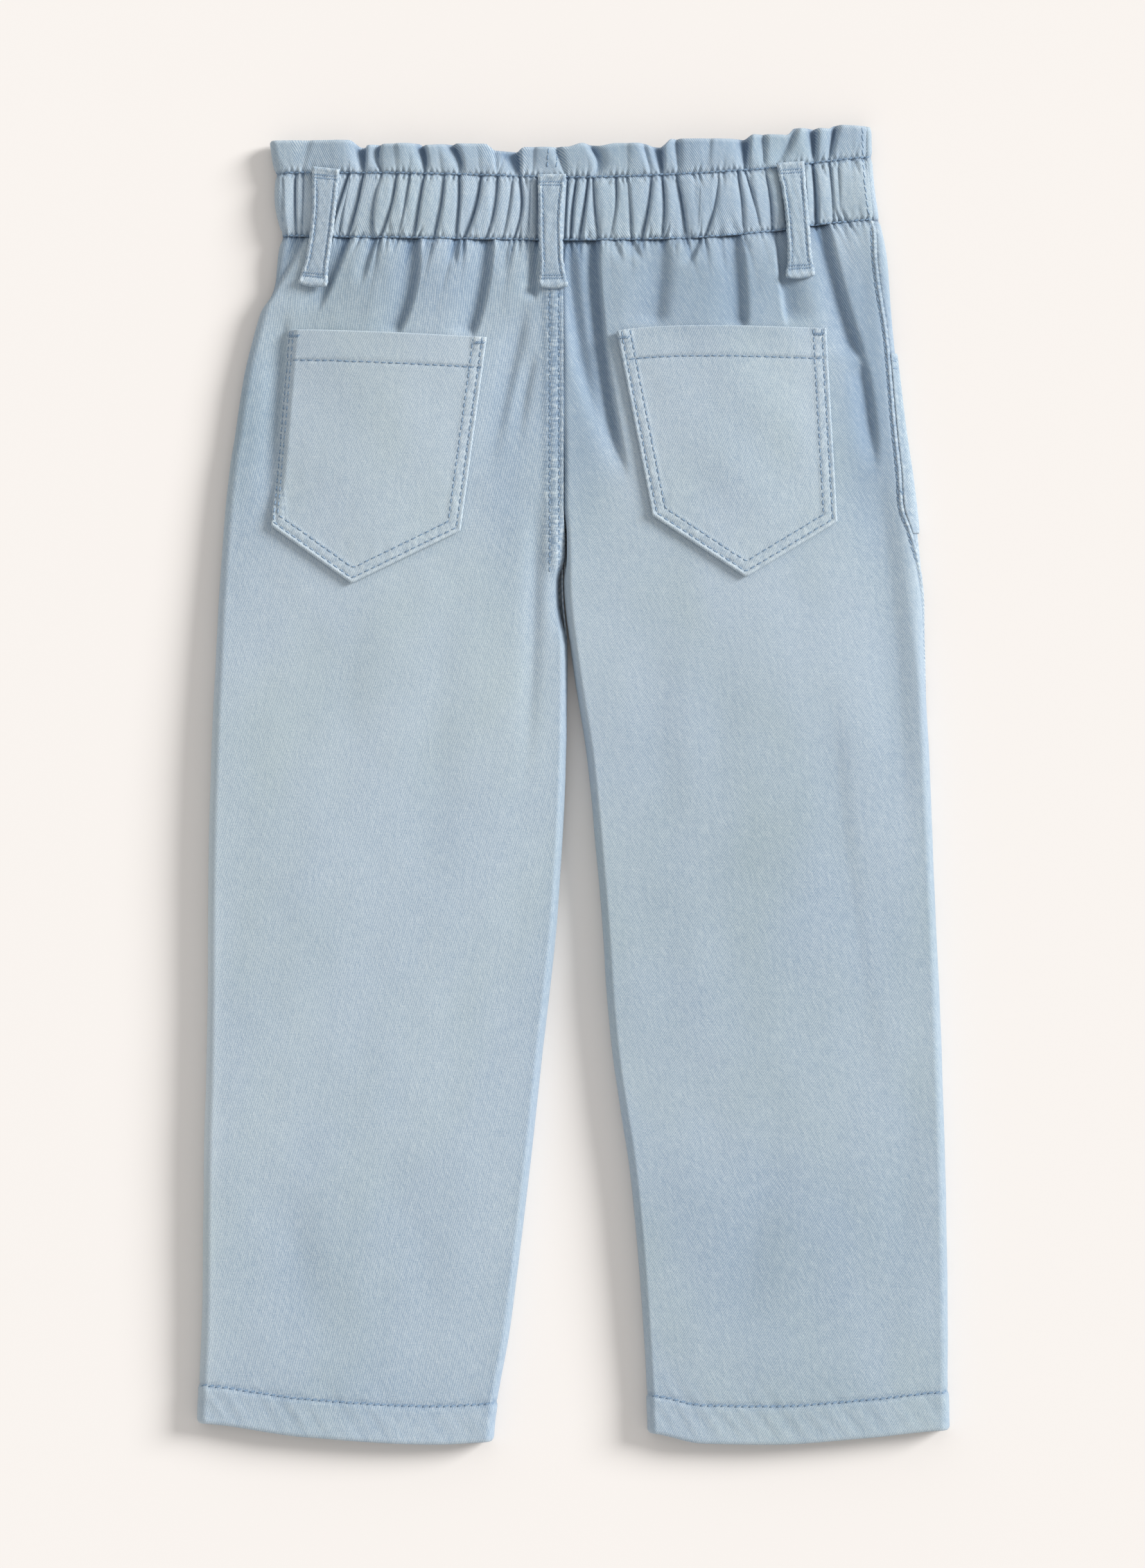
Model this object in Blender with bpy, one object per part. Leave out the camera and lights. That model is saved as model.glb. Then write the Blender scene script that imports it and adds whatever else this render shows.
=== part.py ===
"""A child's pull-on jeans with a gathered waist, lying flat on the front with the back up.

Metres, +Z up. +Y runs from the hems to the waist, and X runs across. The wearer's left leg is
at -X. Each panel is a wall of cloth lofted through rings round the legs and the seat.
"""

import math
from collections import namedtuple
from functools import lru_cache

import bmesh
import bpy
from mathutils import Vector

# Driving dimensions
PANEL_WALL = 0.0012
BAND_WALL = 0.0018
PATCH_WALL = 0.0012
LOOP_WALL = 0.0012
SEAM_GAP = 0.0003
PATCH_GAP = 0.0005
LOOP_WIDTH = 0.0124

WAIST_SEAM_Y = 0.2440
CROTCH_Y = 0.0880
SEAT_OPENS_Y = 0.1250
HEM_Y = -0.2920
BACK_ROLL = 0.0080
FRONT_ROLL = 0.0045
INNER_ROLL = 0.0110
MIDDLE_SHARE = 0.40
SIDE_STARTS = 0.45
FRONT_LIFT = 0.0015
LIFT_FULL_Y = 0.0850
LIFT_START_Y = 0.0550
LAP_HEIGHT = 0.0012
LAP_REACH = 0.0150
LAP_FADE = 0.0500
LAP_LOW_Y = 0.0200
LAP_HIGH_Y = 0.2000
WAIST_LINES_FROM_Y = 0.1700
HEM_LINES_FROM_Y = -0.2100
GATHER_HALF_WIDTH = 0.0022
GATHER_AT_STITCHES = 0.55
BAND_HEIGHT = 0.0450
CASING_SHARE = 0.50
BAND_SEAM_ANGLE = 1.2
BAND_COLUMN_CLEAR = 0.0010
FRONT_GATHER_SHARE = 0.50
POCKET_FADE = 0.0100
STEP = 0.0001
ANGLE_STEP = 0.5
SHARE_STEP = 0.002
INWARD_SHARE = 0.02
INWARD_ANGLE = 2.0

BACK, FRONT = 1, -1
LEFT, RIGHT = -1, 1

# The outline of the flat garment, how high its back lies, and how much lower it lies in the
# middle of each half's edges (crown) and towards the side seams (side_drop)
Outline = namedtuple("Outline",
                     "y left_edge left_inner right_inner right_edge height crown side_drop")
OUTLINES = (
    Outline(-0.2960, -0.1683, -0.0362, 0.0336, 0.1680, 0.0104, 0.0010, 0.0000),
    Outline(-0.2380, -0.1663, -0.0277, 0.0308, 0.1676, 0.0120, 0.0012, 0.0000),
    Outline(-0.1760, -0.1657, -0.0200, 0.0255, 0.1666, 0.0128, 0.0013, 0.0000),
    Outline(-0.1140, -0.1642, -0.0132, 0.0166, 0.1645, 0.0130, 0.0014, 0.0000),
    Outline(-0.0520, -0.1638, -0.0067, 0.0120, 0.1620, 0.0132, 0.0014, 0.0000),
    Outline(0.0100, -0.1623, -0.0034, 0.0062, 0.1592, 0.0134, 0.0014, 0.0004),
    Outline(0.0590, -0.1602, -0.0027, -0.0012, 0.1570, 0.0134, 0.0014, 0.0010),
    Outline(0.0880, -0.1586, -0.0047, -0.0041, 0.1560, 0.0134, 0.0014, 0.0018),
    Outline(0.1340, -0.1548, -0.0045, -0.0045, 0.1514, 0.0136, 0.0012, 0.0032),
    Outline(0.1580, -0.1514, -0.0045, -0.0045, 0.1480, 0.0138, 0.0010, 0.0040),
    Outline(0.1830, -0.1474, -0.0045, -0.0045, 0.1450, 0.0140, 0.0008, 0.0046),
    Outline(0.2080, -0.1409, -0.0045, -0.0045, 0.1421, 0.0144, 0.0006, 0.0052),
    Outline(0.2266, -0.1344, -0.0045, -0.0045, 0.1406, 0.0147, 0.0004, 0.0056),
    Outline(0.2440, -0.1315, -0.0045, -0.0045, 0.1372, 0.0149, 0.0004, 0.0058),
    Outline(0.2576, -0.1330, -0.0045, -0.0045, 0.1350, 0.0151, 0.0004, 0.0058),
    Outline(0.2731, -0.1341, -0.0045, -0.0045, 0.1338, 0.0150, 0.0004, 0.0058),
    Outline(0.2960, -0.1370, -0.0045, -0.0045, 0.1335, 0.0147, 0.0004, 0.0056),
)

# Where the side seams run round the edges: 90 degrees is the top, -90 the underside
SideSeam = namedtuple("SideSeam", "y left_angle right_angle")
SIDE_SEAMS = (
    SideSeam(-0.0500, -60.0, -60.0),
    SideSeam(0.0400, -60.0, -35.0),
    SideSeam(0.0800, -60.0, 0.0),
    SideSeam(0.1120, -60.0, 48.0),
    SideSeam(0.1240, -60.0, 70.0),
    SideSeam(0.1400, -60.0, 63.0),
    SideSeam(0.1690, -60.0, 54.0),
    SideSeam(0.1956, -60.0, 48.0),
    SideSeam(0.2266, -60.0, 68.0),
    SideSeam(0.2440, -60.0, 50.0),
    SideSeam(0.2960, -60.0, 46.0),
)

# The waist's lines run a little uphill to the right
WaistLine = namedtuple("WaistLine", "x lower_stitch upper_stitch frill_top")
WAIST_LINES = (
    WaistLine(-0.1400, 0.2450, 0.2730, 0.2877),
    WaistLine(-0.0900, 0.2438, 0.2724, 0.2862),
    WaistLine(-0.0400, 0.2428, 0.2712, 0.2852),
    WaistLine(0.0000, 0.2424, 0.2702, 0.2835),
    WaistLine(0.0450, 0.2430, 0.2715, 0.2868),
    WaistLine(0.0850, 0.2460, 0.2742, 0.2898),
    WaistLine(0.1100, 0.2497, 0.2775, 0.2930),
    WaistLine(0.1400, 0.2522, 0.2804, 0.2946),
)

HemLine = namedtuple("HemLine", "x edge")
HEM_LINES = (
    HemLine(-0.1700, -0.2857),
    HemLine(-0.1204, -0.2917),
    HemLine(-0.0610, -0.2951),
    HemLine(-0.0358, -0.2939),
    HemLine(0.0336, -0.2902),
    HemLine(0.0575, -0.2946),
    HemLine(0.0882, -0.2951),
    HemLine(0.1294, -0.2923),
    HemLine(0.1700, -0.2888),
)

# Creases of the gathered band, at its top edge and its two stitch lines
Gather = namedtuple("Gather", "frill upper lower depth")
GATHERS = (
    Gather(-0.1255, -0.1242, -0.1240, 0.0024),
    Gather(-0.1035, -0.1040, -0.1085, 0.0022),
    Gather(-0.0946, -0.0947, -0.0995, 0.0026),
    Gather(-0.0876, -0.0850, -0.0900, 0.0020),
    Gather(-0.0700, -0.0728, -0.0770, 0.0026),
    Gather(-0.0620, -0.0640, -0.0680, 0.0020),
    Gather(-0.0525, -0.0512, -0.0540, 0.0026),
    Gather(-0.0420, -0.0411, -0.0475, 0.0020),
    Gather(-0.0318, -0.0335, -0.0365, 0.0024),
    Gather(-0.0246, -0.0240, -0.0260, 0.0022),
    Gather(0.0020, 0.0015, 0.0005, 0.0026),
    Gather(0.0095, 0.0085, 0.0060, 0.0024),
    Gather(0.0200, 0.0205, 0.0195, 0.0020),
    Gather(0.0349, 0.0352, 0.0315, 0.0026),
    Gather(0.0451, 0.0455, 0.0485, 0.0024),
    Gather(0.0620, 0.0640, 0.0595, 0.0022),
    Gather(0.0767, 0.0750, 0.0760, 0.0026),
    Gather(0.0860, 0.0865, 0.0880, 0.0020),
    Gather(0.1077, 0.1074, 0.1085, 0.0028),
    Gather(0.1186, 0.1150, 0.1165, 0.0020),
)

# Soft folds of the seat and legs, each from its high end to its low end
Fold = namedtuple("Fold", "x_high y_high x_low y_low half_width depth")
BACK_FOLDS = (
    Fold(-0.1200, 0.2440, -0.1390, 0.1950, 0.0070, 0.0016),
    Fold(-0.0730, 0.2440, -0.0850, 0.2080, 0.0080, 0.0016),
    Fold(-0.0420, 0.2440, -0.0560, 0.2040, 0.0080, 0.0016),
    Fold(-0.0190, 0.2420, -0.0370, 0.1450, 0.0080, 0.0014),
    Fold(0.0040, 0.2440, 0.0240, 0.1400, 0.0080, 0.0022),
    Fold(0.0500, 0.2440, 0.0520, 0.2090, 0.0080, 0.0016),
    Fold(0.0780, 0.2440, 0.0860, 0.2080, 0.0080, 0.0014),
    Fold(0.1130, 0.2440, 0.1300, 0.0900, 0.0080, 0.0022),
    Fold(0.1290, 0.1100, 0.1440, -0.0700, 0.0100, 0.0012),
    Fold(-0.1420, 0.2000, -0.1450, 0.0900, 0.0060, 0.0012),
    Fold(-0.0240, 0.1300, -0.0260, 0.0300, 0.0080, 0.0012),
)

# Back patch pockets: corners of the five-sided patches, and how far across the tip is
Pocket = namedtuple("Pocket", "name top_left top_right low_right tip low_left tip_share")
BACK_POCKETS = (
    Pocket("pocket_back_left", (-0.1276, 0.2027), (-0.0386, 0.1990), (-0.0504, 0.1128),
           (-0.0990, 0.0893), (-0.1350, 0.1150), 0.43),
    Pocket("pocket_back_right", (0.0191, 0.2014), (0.1127, 0.2034), (0.1176, 0.1169),
           (0.0767, 0.0921), (0.0352, 0.1194), 0.50),
)

# Front patch pockets, caught in the side seams: their heights and their inner edges
FRONT_POCKET_TOP = 0.1910
FRONT_POCKET_LOW = 0.1120
FRONT_POCKET_TOE = 0.0900
FRONT_POCKET_TOE_SHARE = 0.45
FRONT_POCKET_WIDTH = 0.0860
FRONT_POCKET_SEAM_INSET = 7.0

# Belt loops: their ends' middles on the seat-up face
Loop = namedtuple("Loop", "name x_high y_high x_low y_low face")
LOOPS = (
    Loop("loop_back_left", -0.1110, 0.2750, -0.1160, 0.2252, BACK),
    Loop("loop_back_centre", -0.0094, 0.2712, -0.0089, 0.2205, BACK),
    Loop("loop_back_right", 0.0968, 0.2778, 0.1016, 0.2268, BACK),
    Loop("loop_front_left", -0.0620, 0.2740, -0.0620, 0.2230, FRONT),
    Loop("loop_front_right", 0.0620, 0.2760, 0.0620, 0.2250, FRONT),
)

PANEL_ROWS = (0.2440, 0.2350, 0.2220, 0.2060, 0.1860, 0.1620, 0.1420, 0.1250, 0.1120, 0.1000,
              0.0880, 0.0740, 0.0550, 0.0200, -0.0250, -0.0750, -0.1250, -0.1750, -0.2200,
              -0.2550, -0.2760, -0.2920)
BAND_ROWS = (0.0, 0.25, 0.50, 0.78, 1.0)
BACK_ROLL_STEPS = 5
FRONT_ROLL_STEPS = 2
INNER_ROLL_STEPS = 3
BACK_FLAT_STEPS = 13
FRONT_FLAT_STEPS = 5
POCKET_HALF_STEPS = 4
POCKET_ROWS = 6
LOOP_STEPS = 7

COLOURS = {
    "panel": (0.42, 0.52, 0.60, 1.0),
    "band": (0.38, 0.49, 0.58, 1.0),
    "patch": (0.46, 0.55, 0.62, 1.0),
    "loop": (0.45, 0.54, 0.61, 1.0),
}
CLOTH_ROUGHNESS = 0.9


def clear_scene():
    for old in list(bpy.data.objects):
        bpy.data.objects.remove(old, do_unlink=True)


def cloth(name, colour):
    material = bpy.data.materials.new(name)
    material.use_nodes = True
    shader = material.node_tree.nodes["Principled BSDF"]
    shader.inputs["Base Color"].default_value = colour
    shader.inputs["Roughness"].default_value = CLOTH_ROUGHNESS
    shader.inputs["Metallic"].default_value = 0.0
    return material


def ease(share):
    share = min(max(share, 0.0), 1.0)
    return share * share * (3.0 - 2.0 * share)


def slope_at(places, values, row):
    """The slope of a smooth curve that never overshoots, at one of its rows."""
    if row == 0 or row == len(places) - 1:
        return 0.0
    before = (values[row] - values[row - 1]) / (places[row] - places[row - 1])
    after = (values[row + 1] - values[row]) / (places[row + 1] - places[row])
    if before * after <= 0.0:
        return 0.0
    return 2.0 * before * after / (before + after)


def read(table, column, at):
    """One column of a table, at a place in its first column, on a smooth curve."""
    places = [row[0] for row in table]
    values = [getattr(row, column) for row in table]
    at = min(max(at, places[0]), places[-1])
    row = max(index for index in range(len(places) - 1) if places[index] <= at)
    span = places[row + 1] - places[row]
    t = (at - places[row]) / span
    start = slope_at(places, values, row) * span
    end = slope_at(places, values, row + 1) * span
    rise = values[row + 1] - values[row]
    return (values[row] + start * t
            + (3.0 * rise - 2.0 * start - end) * t * t
            + (start + end - 2.0 * rise) * t * t * t)


Section = namedtuple("Section", "outer inner height crown side_drop floor open seam_angle")


@lru_cache(maxsize=None)
def section(side, y):
    """The sizes of one half of the garment at one height."""
    name = "left" if side == LEFT else "right"
    lifted = ease((y - LIFT_START_Y) / (LIFT_FULL_Y - LIFT_START_Y))
    return Section(
        outer=read(OUTLINES, name + "_edge", y),
        inner=read(OUTLINES, name + "_inner", y),
        height=read(OUTLINES, "height", y),
        crown=read(OUTLINES, "crown", y),
        side_drop=read(OUTLINES, "side_drop", y),
        floor=FRONT_LIFT * lifted,
        open=1.0 - ease((y - CROTCH_Y) / (SEAT_OPENS_Y - CROTCH_Y)),
        seam_angle=read(SIDE_SEAMS, name + "_angle", y),
    )


def level(side, face, x, y):
    """The height of the back's crowned face, or of the front's flat one."""
    at = section(side, y)
    if face == FRONT:
        return at.floor
    middle = 0.5 * (at.outer + at.inner)
    half = 0.5 * abs(at.outer - at.inner)
    across = (x - middle) / half
    outward = (side * across + 1.0) / 2.0
    dropped = at.side_drop * ease((outward - SIDE_STARTS) / (1.0 - SIDE_STARTS))
    lap = 0.0
    if side == RIGHT:
        near = math.exp(-abs(x - at.inner) / LAP_REACH)
        ends = ease((y - LAP_LOW_Y) / LAP_FADE) * ease((LAP_HIGH_Y - y) / LAP_FADE)
        lap = LAP_HEIGHT * near * ends
    return at.height - at.crown * across * across - dropped + lap


def middle_height(side, x, y):
    floor = level(side, FRONT, x, y)
    return floor + MIDDLE_SHARE * (level(side, BACK, x, y) - floor)


def lines_shift(x, y):
    """How far the waist's and the hem's own lines move a point along Y."""
    waist = ease((y - WAIST_LINES_FROM_Y) / (WAIST_SEAM_Y - WAIST_LINES_FROM_Y))
    hem = ease((HEM_LINES_FROM_Y - y) / (HEM_LINES_FROM_Y - HEM_Y))
    return (waist * (read(WAIST_LINES, "lower_stitch", x) - WAIST_SEAM_Y)
            + hem * (read(HEM_LINES, "edge", x) - HEM_Y))


def edge_point(side, angle, y):
    """A point on the round outer edge: 90 degrees is its top, -90 its underside."""
    at = section(side, y)
    turn = math.radians(angle)
    face = BACK if angle >= 0.0 else FRONT
    roll = BACK_ROLL if face == BACK else FRONT_ROLL
    x = at.outer - side * roll * (1.0 - math.cos(turn))
    middle = middle_height(side, x, y)
    z = middle + (level(side, face, x, y) - middle) * abs(math.sin(turn))
    return Vector((x, y + lines_shift(x, y), z))


def inner_point(side, face, angle, y):
    """A point on the round inner edge, which lies flat at the seat seam above the crotch."""
    at = section(side, y)
    turn = math.radians(angle)
    rolled = INNER_ROLL * (1.0 - math.cos(turn))
    flat = INNER_ROLL * angle / 90.0
    x = at.inner + side * (at.open * rolled + (1.0 - at.open) * flat)
    level_here = level(side, face, x, y)
    base = level_here + at.open * (middle_height(side, x, y) - level_here)
    z = base + (level_here - base) * math.sin(turn)
    return Vector((x, y + lines_shift(x, y), z))


def flat_point(side, face, share, y):
    """A point between the two round edges, from the outer one to the inner one."""
    at = section(side, y)
    roll = BACK_ROLL if face == BACK else FRONT_ROLL
    start = at.outer - side * roll
    end = at.inner + side * INNER_ROLL
    x = start + (end - start) * share
    return Vector((x, y + lines_shift(x, y), level(side, face, x, y)))


def panel_point(side, face, zone, value, y):
    if zone == "edge":
        return edge_point(side, value, y)
    if zone == "inner":
        return inner_point(side, face, value, y)
    return flat_point(side, face, value, y)


def frame_at(side, face, zone, value, y):
    """The point, its outward normal, and its direction along the ring."""
    nudge = SHARE_STEP if zone == "flat" else ANGLE_STEP
    point = panel_point(side, face, zone, value, y)
    if zone == "inner" and abs(value) < nudge:
        along = panel_point(side, face, zone, value + nudge, y) - point
    else:
        along = (panel_point(side, face, zone, value + nudge, y)
                 - panel_point(side, face, zone, value - nudge, y))
    up = (panel_point(side, face, zone, value, y + STEP)
          - panel_point(side, face, zone, value, y - STEP))
    normal = along.cross(up).normalized()
    at = section(side, y)
    centre = Vector((0.5 * (at.outer + at.inner), point.y, 0.5 * at.height))
    if normal.dot(point - centre) < 0.0:
        normal.negate()
    return point, normal, along.normalized()


def fold_depth(x, y):
    """How deep the soft folds of the back lie at a point."""
    depth = 0.0
    for fold in BACK_FOLDS:
        high = Vector((fold.x_high, fold.y_high))
        low = Vector((fold.x_low, fold.y_low))
        run = low - high
        share = (Vector((x, y)) - high).dot(run) / run.length_squared
        away = (Vector((x, y)) - high - run * share).length
        fade = ease(share * 5.0 + 1.0) * ease((1.0 - share) * 2.0)
        depth += fold.depth * fade * math.exp(-(away / fold.half_width) ** 2)
    return depth * clear_of_pockets(x, y)


def clear_of_pockets(x, y):
    """0 under a back pocket, 1 away from it."""
    clear = 1.0
    for pocket in BACK_POCKETS:
        left = min(pocket.top_left[0], pocket.low_left[0])
        right = max(pocket.top_right[0], pocket.low_right[0])
        beside = max(left - x, x - right, y - pocket.top_left[1], pocket.tip[1] - y, 0.0)
        clear = min(clear, ease(beside / POCKET_FADE))
    return clear


def panel_columns(side, face):
    """The stations of a panel's columns, from its side seam to its inner seam."""
    columns = []
    steps = BACK_ROLL_STEPS if face == BACK or side == RIGHT else FRONT_ROLL_STEPS
    columns += [("edge", step / steps) for step in range(steps)]
    flats = BACK_FLAT_STEPS if face == BACK else FRONT_FLAT_STEPS
    columns += [("flat", step / flats) for step in range(flats + 1)]
    columns += [("inner", 90.0 * (INNER_ROLL_STEPS - step) / INNER_ROLL_STEPS)
                for step in range(1, INNER_ROLL_STEPS + 1)]
    return columns


def panel(name, side, face, material):
    """A back or front panel of one half, from the waist seam to the hem."""
    columns = panel_columns(side, face)
    rows = []
    for y in PANEL_ROWS:
        seam_angle = section(side, y).seam_angle
        row = []
        for number, (zone, value) in enumerate(columns):
            if zone == "edge":
                value = seam_angle + (face * 90.0 - seam_angle) * value
            point, normal, along = frame_at(side, face, zone, value, y)
            if number in (0, len(columns) - 1):
                inward = frame_at(side, face, *inward_station(columns, number, seam_angle,
                                                              face), y)[0] - point
                point += inward.normalized() * SEAM_GAP / 2.0
            if face == BACK:
                point -= normal * fold_depth(point.x, point.y)
            if y in (PANEL_ROWS[0], PANEL_ROWS[-1]):
                normal = Vector((normal.x, 0.0, normal.z)).normalized()
            row.append((point, point - normal * PANEL_WALL))
        rows.append(row)
    return wall(name, rows, material)


def inward_station(columns, number, seam_angle, face):
    """The station a little way in from a panel's first or last column."""
    if number == 0:
        return "edge", seam_angle + (face * 90.0 - seam_angle) * INWARD_SHARE
    return "inner", INWARD_ANGLE


def wall(name, rows, material):
    """A closed wall from rows of (outer, inner) points, as one object."""
    mesh = bmesh.new()
    outer = [[mesh.verts.new(pair[0]) for pair in row] for row in rows]
    inner = [[mesh.verts.new(pair[1]) for pair in row] for row in rows]
    last_row, last_column = len(rows) - 1, len(rows[0]) - 1
    for row in range(last_row):
        for column in range(last_column):
            for skin in (outer, inner):
                mesh.faces.new((skin[row][column], skin[row][column + 1],
                                skin[row + 1][column + 1], skin[row + 1][column]))
        for column in (0, last_column):
            mesh.faces.new((outer[row][column], outer[row + 1][column],
                            inner[row + 1][column], inner[row][column]))
    for column in range(last_column):
        for row in (0, last_row):
            mesh.faces.new((outer[row][column], outer[row][column + 1],
                            inner[row][column + 1], inner[row][column]))
    bmesh.ops.recalc_face_normals(mesh, faces=mesh.faces)
    data = bpy.data.meshes.new(name)
    mesh.to_mesh(data)
    mesh.free()
    data.materials.append(material)
    data.shade_smooth()
    data.set_sharp_from_angle(angle=math.radians(40.0))
    made = bpy.data.objects.new(name, data)
    bpy.data.collections["jeans"].objects.link(made)
    return made


def band_lines(x, share):
    """The Y of a point of the band: share 0 is its lower stitch line, 1 the frill's top."""
    lower = read(WAIST_LINES, "lower_stitch", x) + SEAM_GAP
    upper = read(WAIST_LINES, "upper_stitch", x)
    top = read(WAIST_LINES, "frill_top", x)
    if share <= CASING_SHARE:
        return lower + (upper - lower) * share / CASING_SHARE
    return upper + (top - upper) * (share - CASING_SHARE) / (1.0 - CASING_SHARE)


def gather_x(gather, share):
    if share <= CASING_SHARE:
        return gather.lower + (gather.upper - gather.lower) * share / CASING_SHARE
    frill_share = (share - CASING_SHARE) / (1.0 - CASING_SHARE)
    return gather.upper + (gather.frill - gather.upper) * frill_share


def gather_depth(x, share, face):
    """How deep the band's creases go in at a point. The stitch lines hold them shallower."""
    swing = abs(math.sin(math.pi * share / CASING_SHARE))
    held = GATHER_AT_STITCHES + (1.0 - GATHER_AT_STITCHES) * swing
    depth = 0.0
    for gather in GATHERS:
        away = (x - gather_x(gather, share)) / GATHER_HALF_WIDTH
        depth += gather.depth * math.exp(-away * away)
    return held * depth * (1.0 if face == BACK else FRONT_GATHER_SHARE)


def band_columns(face, share):
    """The X of the band's columns between its round edges: three to a gather."""
    clear = (BACK_ROLL if face == BACK else FRONT_ROLL) + BAND_COLUMN_CLEAR + GATHER_HALF_WIDTH
    low = section(LEFT, WAIST_SEAM_Y).outer + clear
    high = section(RIGHT, WAIST_SEAM_Y).outer - clear
    places = []
    for gather in GATHERS:
        lines = (gather.frill, gather.upper, gather.lower)
        if low < min(lines) and max(lines) < high:
            middle = gather_x(gather, share)
            places += [middle - GATHER_HALF_WIDTH, middle, middle + GATHER_HALF_WIDTH]
    return places


def band_edge(side, face, y):
    """The band's points and normals round one edge, from the side seam inwards."""
    seam_angle = section(side, y).seam_angle + face * BAND_SEAM_ANGLE
    steps = FRONT_ROLL_STEPS if face == FRONT and side == LEFT else BACK_ROLL_STEPS
    edge = []
    for step in range(steps + 1):
        angle = seam_angle + (face * 90.0 - seam_angle) * step / steps
        point, normal, _ = frame_at(side, face, "edge", angle, y)
        edge.append((point, normal))
    return edge


def band(name, face, material):
    """The gathered band on one face, from side seam to side seam."""
    rows = []
    for share in BAND_ROWS:
        row = []
        nominal = WAIST_SEAM_Y + SEAM_GAP + share * BAND_HEIGHT
        for side in (LEFT, RIGHT):
            edge = band_edge(side, face, nominal)
            if side == LEFT:
                row += edge
                for x in band_columns(face, share):
                    at_side = LEFT if x < section(LEFT, nominal).inner else RIGHT
                    row.append((Vector((x, 0.0, level(at_side, face, x, nominal))),
                                Vector((0.0, 0.0, face))))
            else:
                row += reversed(edge)
        pairs = []
        for point, normal in row:
            point = Vector((point.x, band_lines(point.x, share), point.z))
            normal = Vector((normal.x, 0.0, normal.z)).normalized()
            point -= normal * gather_depth(point.x, share, face)
            pairs.append((point, point - normal * BAND_WALL))
        rows.append(pairs)
    return wall(name, rows, material)


def mix(first, second, share):
    return tuple(a + (b - a) * share for a, b in zip(first, second))


def back_pocket(pocket, side, material):
    """A five-sided patch on the back, made from the panel's points moved out."""
    shares = [pocket.tip_share * step / POCKET_HALF_STEPS for step in range(POCKET_HALF_STEPS)]
    shares += [pocket.tip_share + (1.0 - pocket.tip_share) * step / POCKET_HALF_STEPS
               for step in range(POCKET_HALF_STEPS + 1)]
    rows = []
    for step in range(POCKET_ROWS + 1):
        row = []
        for share in shares:
            high = mix(pocket.top_left, pocket.top_right, share)
            if share <= pocket.tip_share:
                low = mix(pocket.low_left, pocket.tip, share / pocket.tip_share)
            else:
                low = mix(pocket.tip, pocket.low_right,
                          (share - pocket.tip_share) / (1.0 - pocket.tip_share))
            x, y = mix(high, low, step / POCKET_ROWS)
            base = level(side, BACK, x, y)
            row.append((Vector((x, y, base + PATCH_GAP + PATCH_WALL)),
                        Vector((x, y, base + PATCH_GAP))))
        rows.append(row)
    return wall(pocket.name, rows, material)


def front_pocket(name, side, material):
    """A patch under the front panel, whose outer edge runs up beside the side seam."""
    edge_steps = BACK_ROLL_STEPS if side == RIGHT else 1
    rows = []
    for step in range(POCKET_ROWS + 1):
        down = step / POCKET_ROWS
        row = []
        for column in range(edge_steps + FRONT_FLAT_STEPS + 1):
            across = max(column - edge_steps, 0) / FRONT_FLAT_STEPS
            toe = FRONT_POCKET_TOE_SHARE
            low = FRONT_POCKET_LOW + (FRONT_POCKET_TOE - FRONT_POCKET_LOW) * (
                min(across / toe, 1.0, (1.0 - across) / (1.0 - toe)))
            y = FRONT_POCKET_TOP + (low - FRONT_POCKET_TOP) * down
            if column < edge_steps:
                start = section(side, y).seam_angle - FRONT_POCKET_SEAM_INSET
                angle = start + (-90.0 - start) * column / edge_steps
                point, normal, _ = frame_at(side, FRONT, "edge", angle, y)
            else:
                at = section(side, y)
                x = at.outer - side * (FRONT_ROLL + FRONT_POCKET_WIDTH * across)
                point = Vector((x, y + lines_shift(x, y), at.floor))
                normal = Vector((0.0, 0.0, -1.0))
            row.append((point + normal * (SEAM_GAP + PATCH_WALL), point + normal * SEAM_GAP))
        rows.append(row)
    return wall(name, rows, material)


def belt_loop(loop, material):
    """A strip over the band, from above its upper stitch line to below its lower one."""
    run = Vector((loop.x_low - loop.x_high, loop.y_low - loop.y_high))
    across = Vector((run.y, -run.x)).normalized() * LOOP_WIDTH / 2.0
    rows = []
    for step in range(LOOP_STEPS + 1):
        share = step / LOOP_STEPS
        row = []
        for edge in (1.0, 0.0, -1.0):
            x = loop.x_high + run.x * share + across.x * edge
            y = loop.y_high + run.y * share + across.y * edge
            side = LEFT if x < section(LEFT, y).inner else RIGHT
            base = level(side, loop.face, x, y) + loop.face * SEAM_GAP
            row.append((Vector((x, y, base + loop.face * LOOP_WALL)), Vector((x, y, base))))
        rows.append(row)
    return wall(loop.name, rows, material)


def stand_on_origin(parts):
    """Hangs the parts on one empty, so that the origin is under the middle of their box."""
    corners = [vertex.co for part in parts for vertex in part.data.vertices]
    low = Vector([min(corner[axis] for corner in corners) for axis in range(3)])
    high = Vector([max(corner[axis] for corner in corners) for axis in range(3)])
    holder = bpy.data.objects.new("jeans_origin", None)
    bpy.data.collections["jeans"].objects.link(holder)
    holder.location = (-0.5 * (low.x + high.x), -0.5 * (low.y + high.y), -low.z)
    for part in parts:
        part.parent = holder


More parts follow.
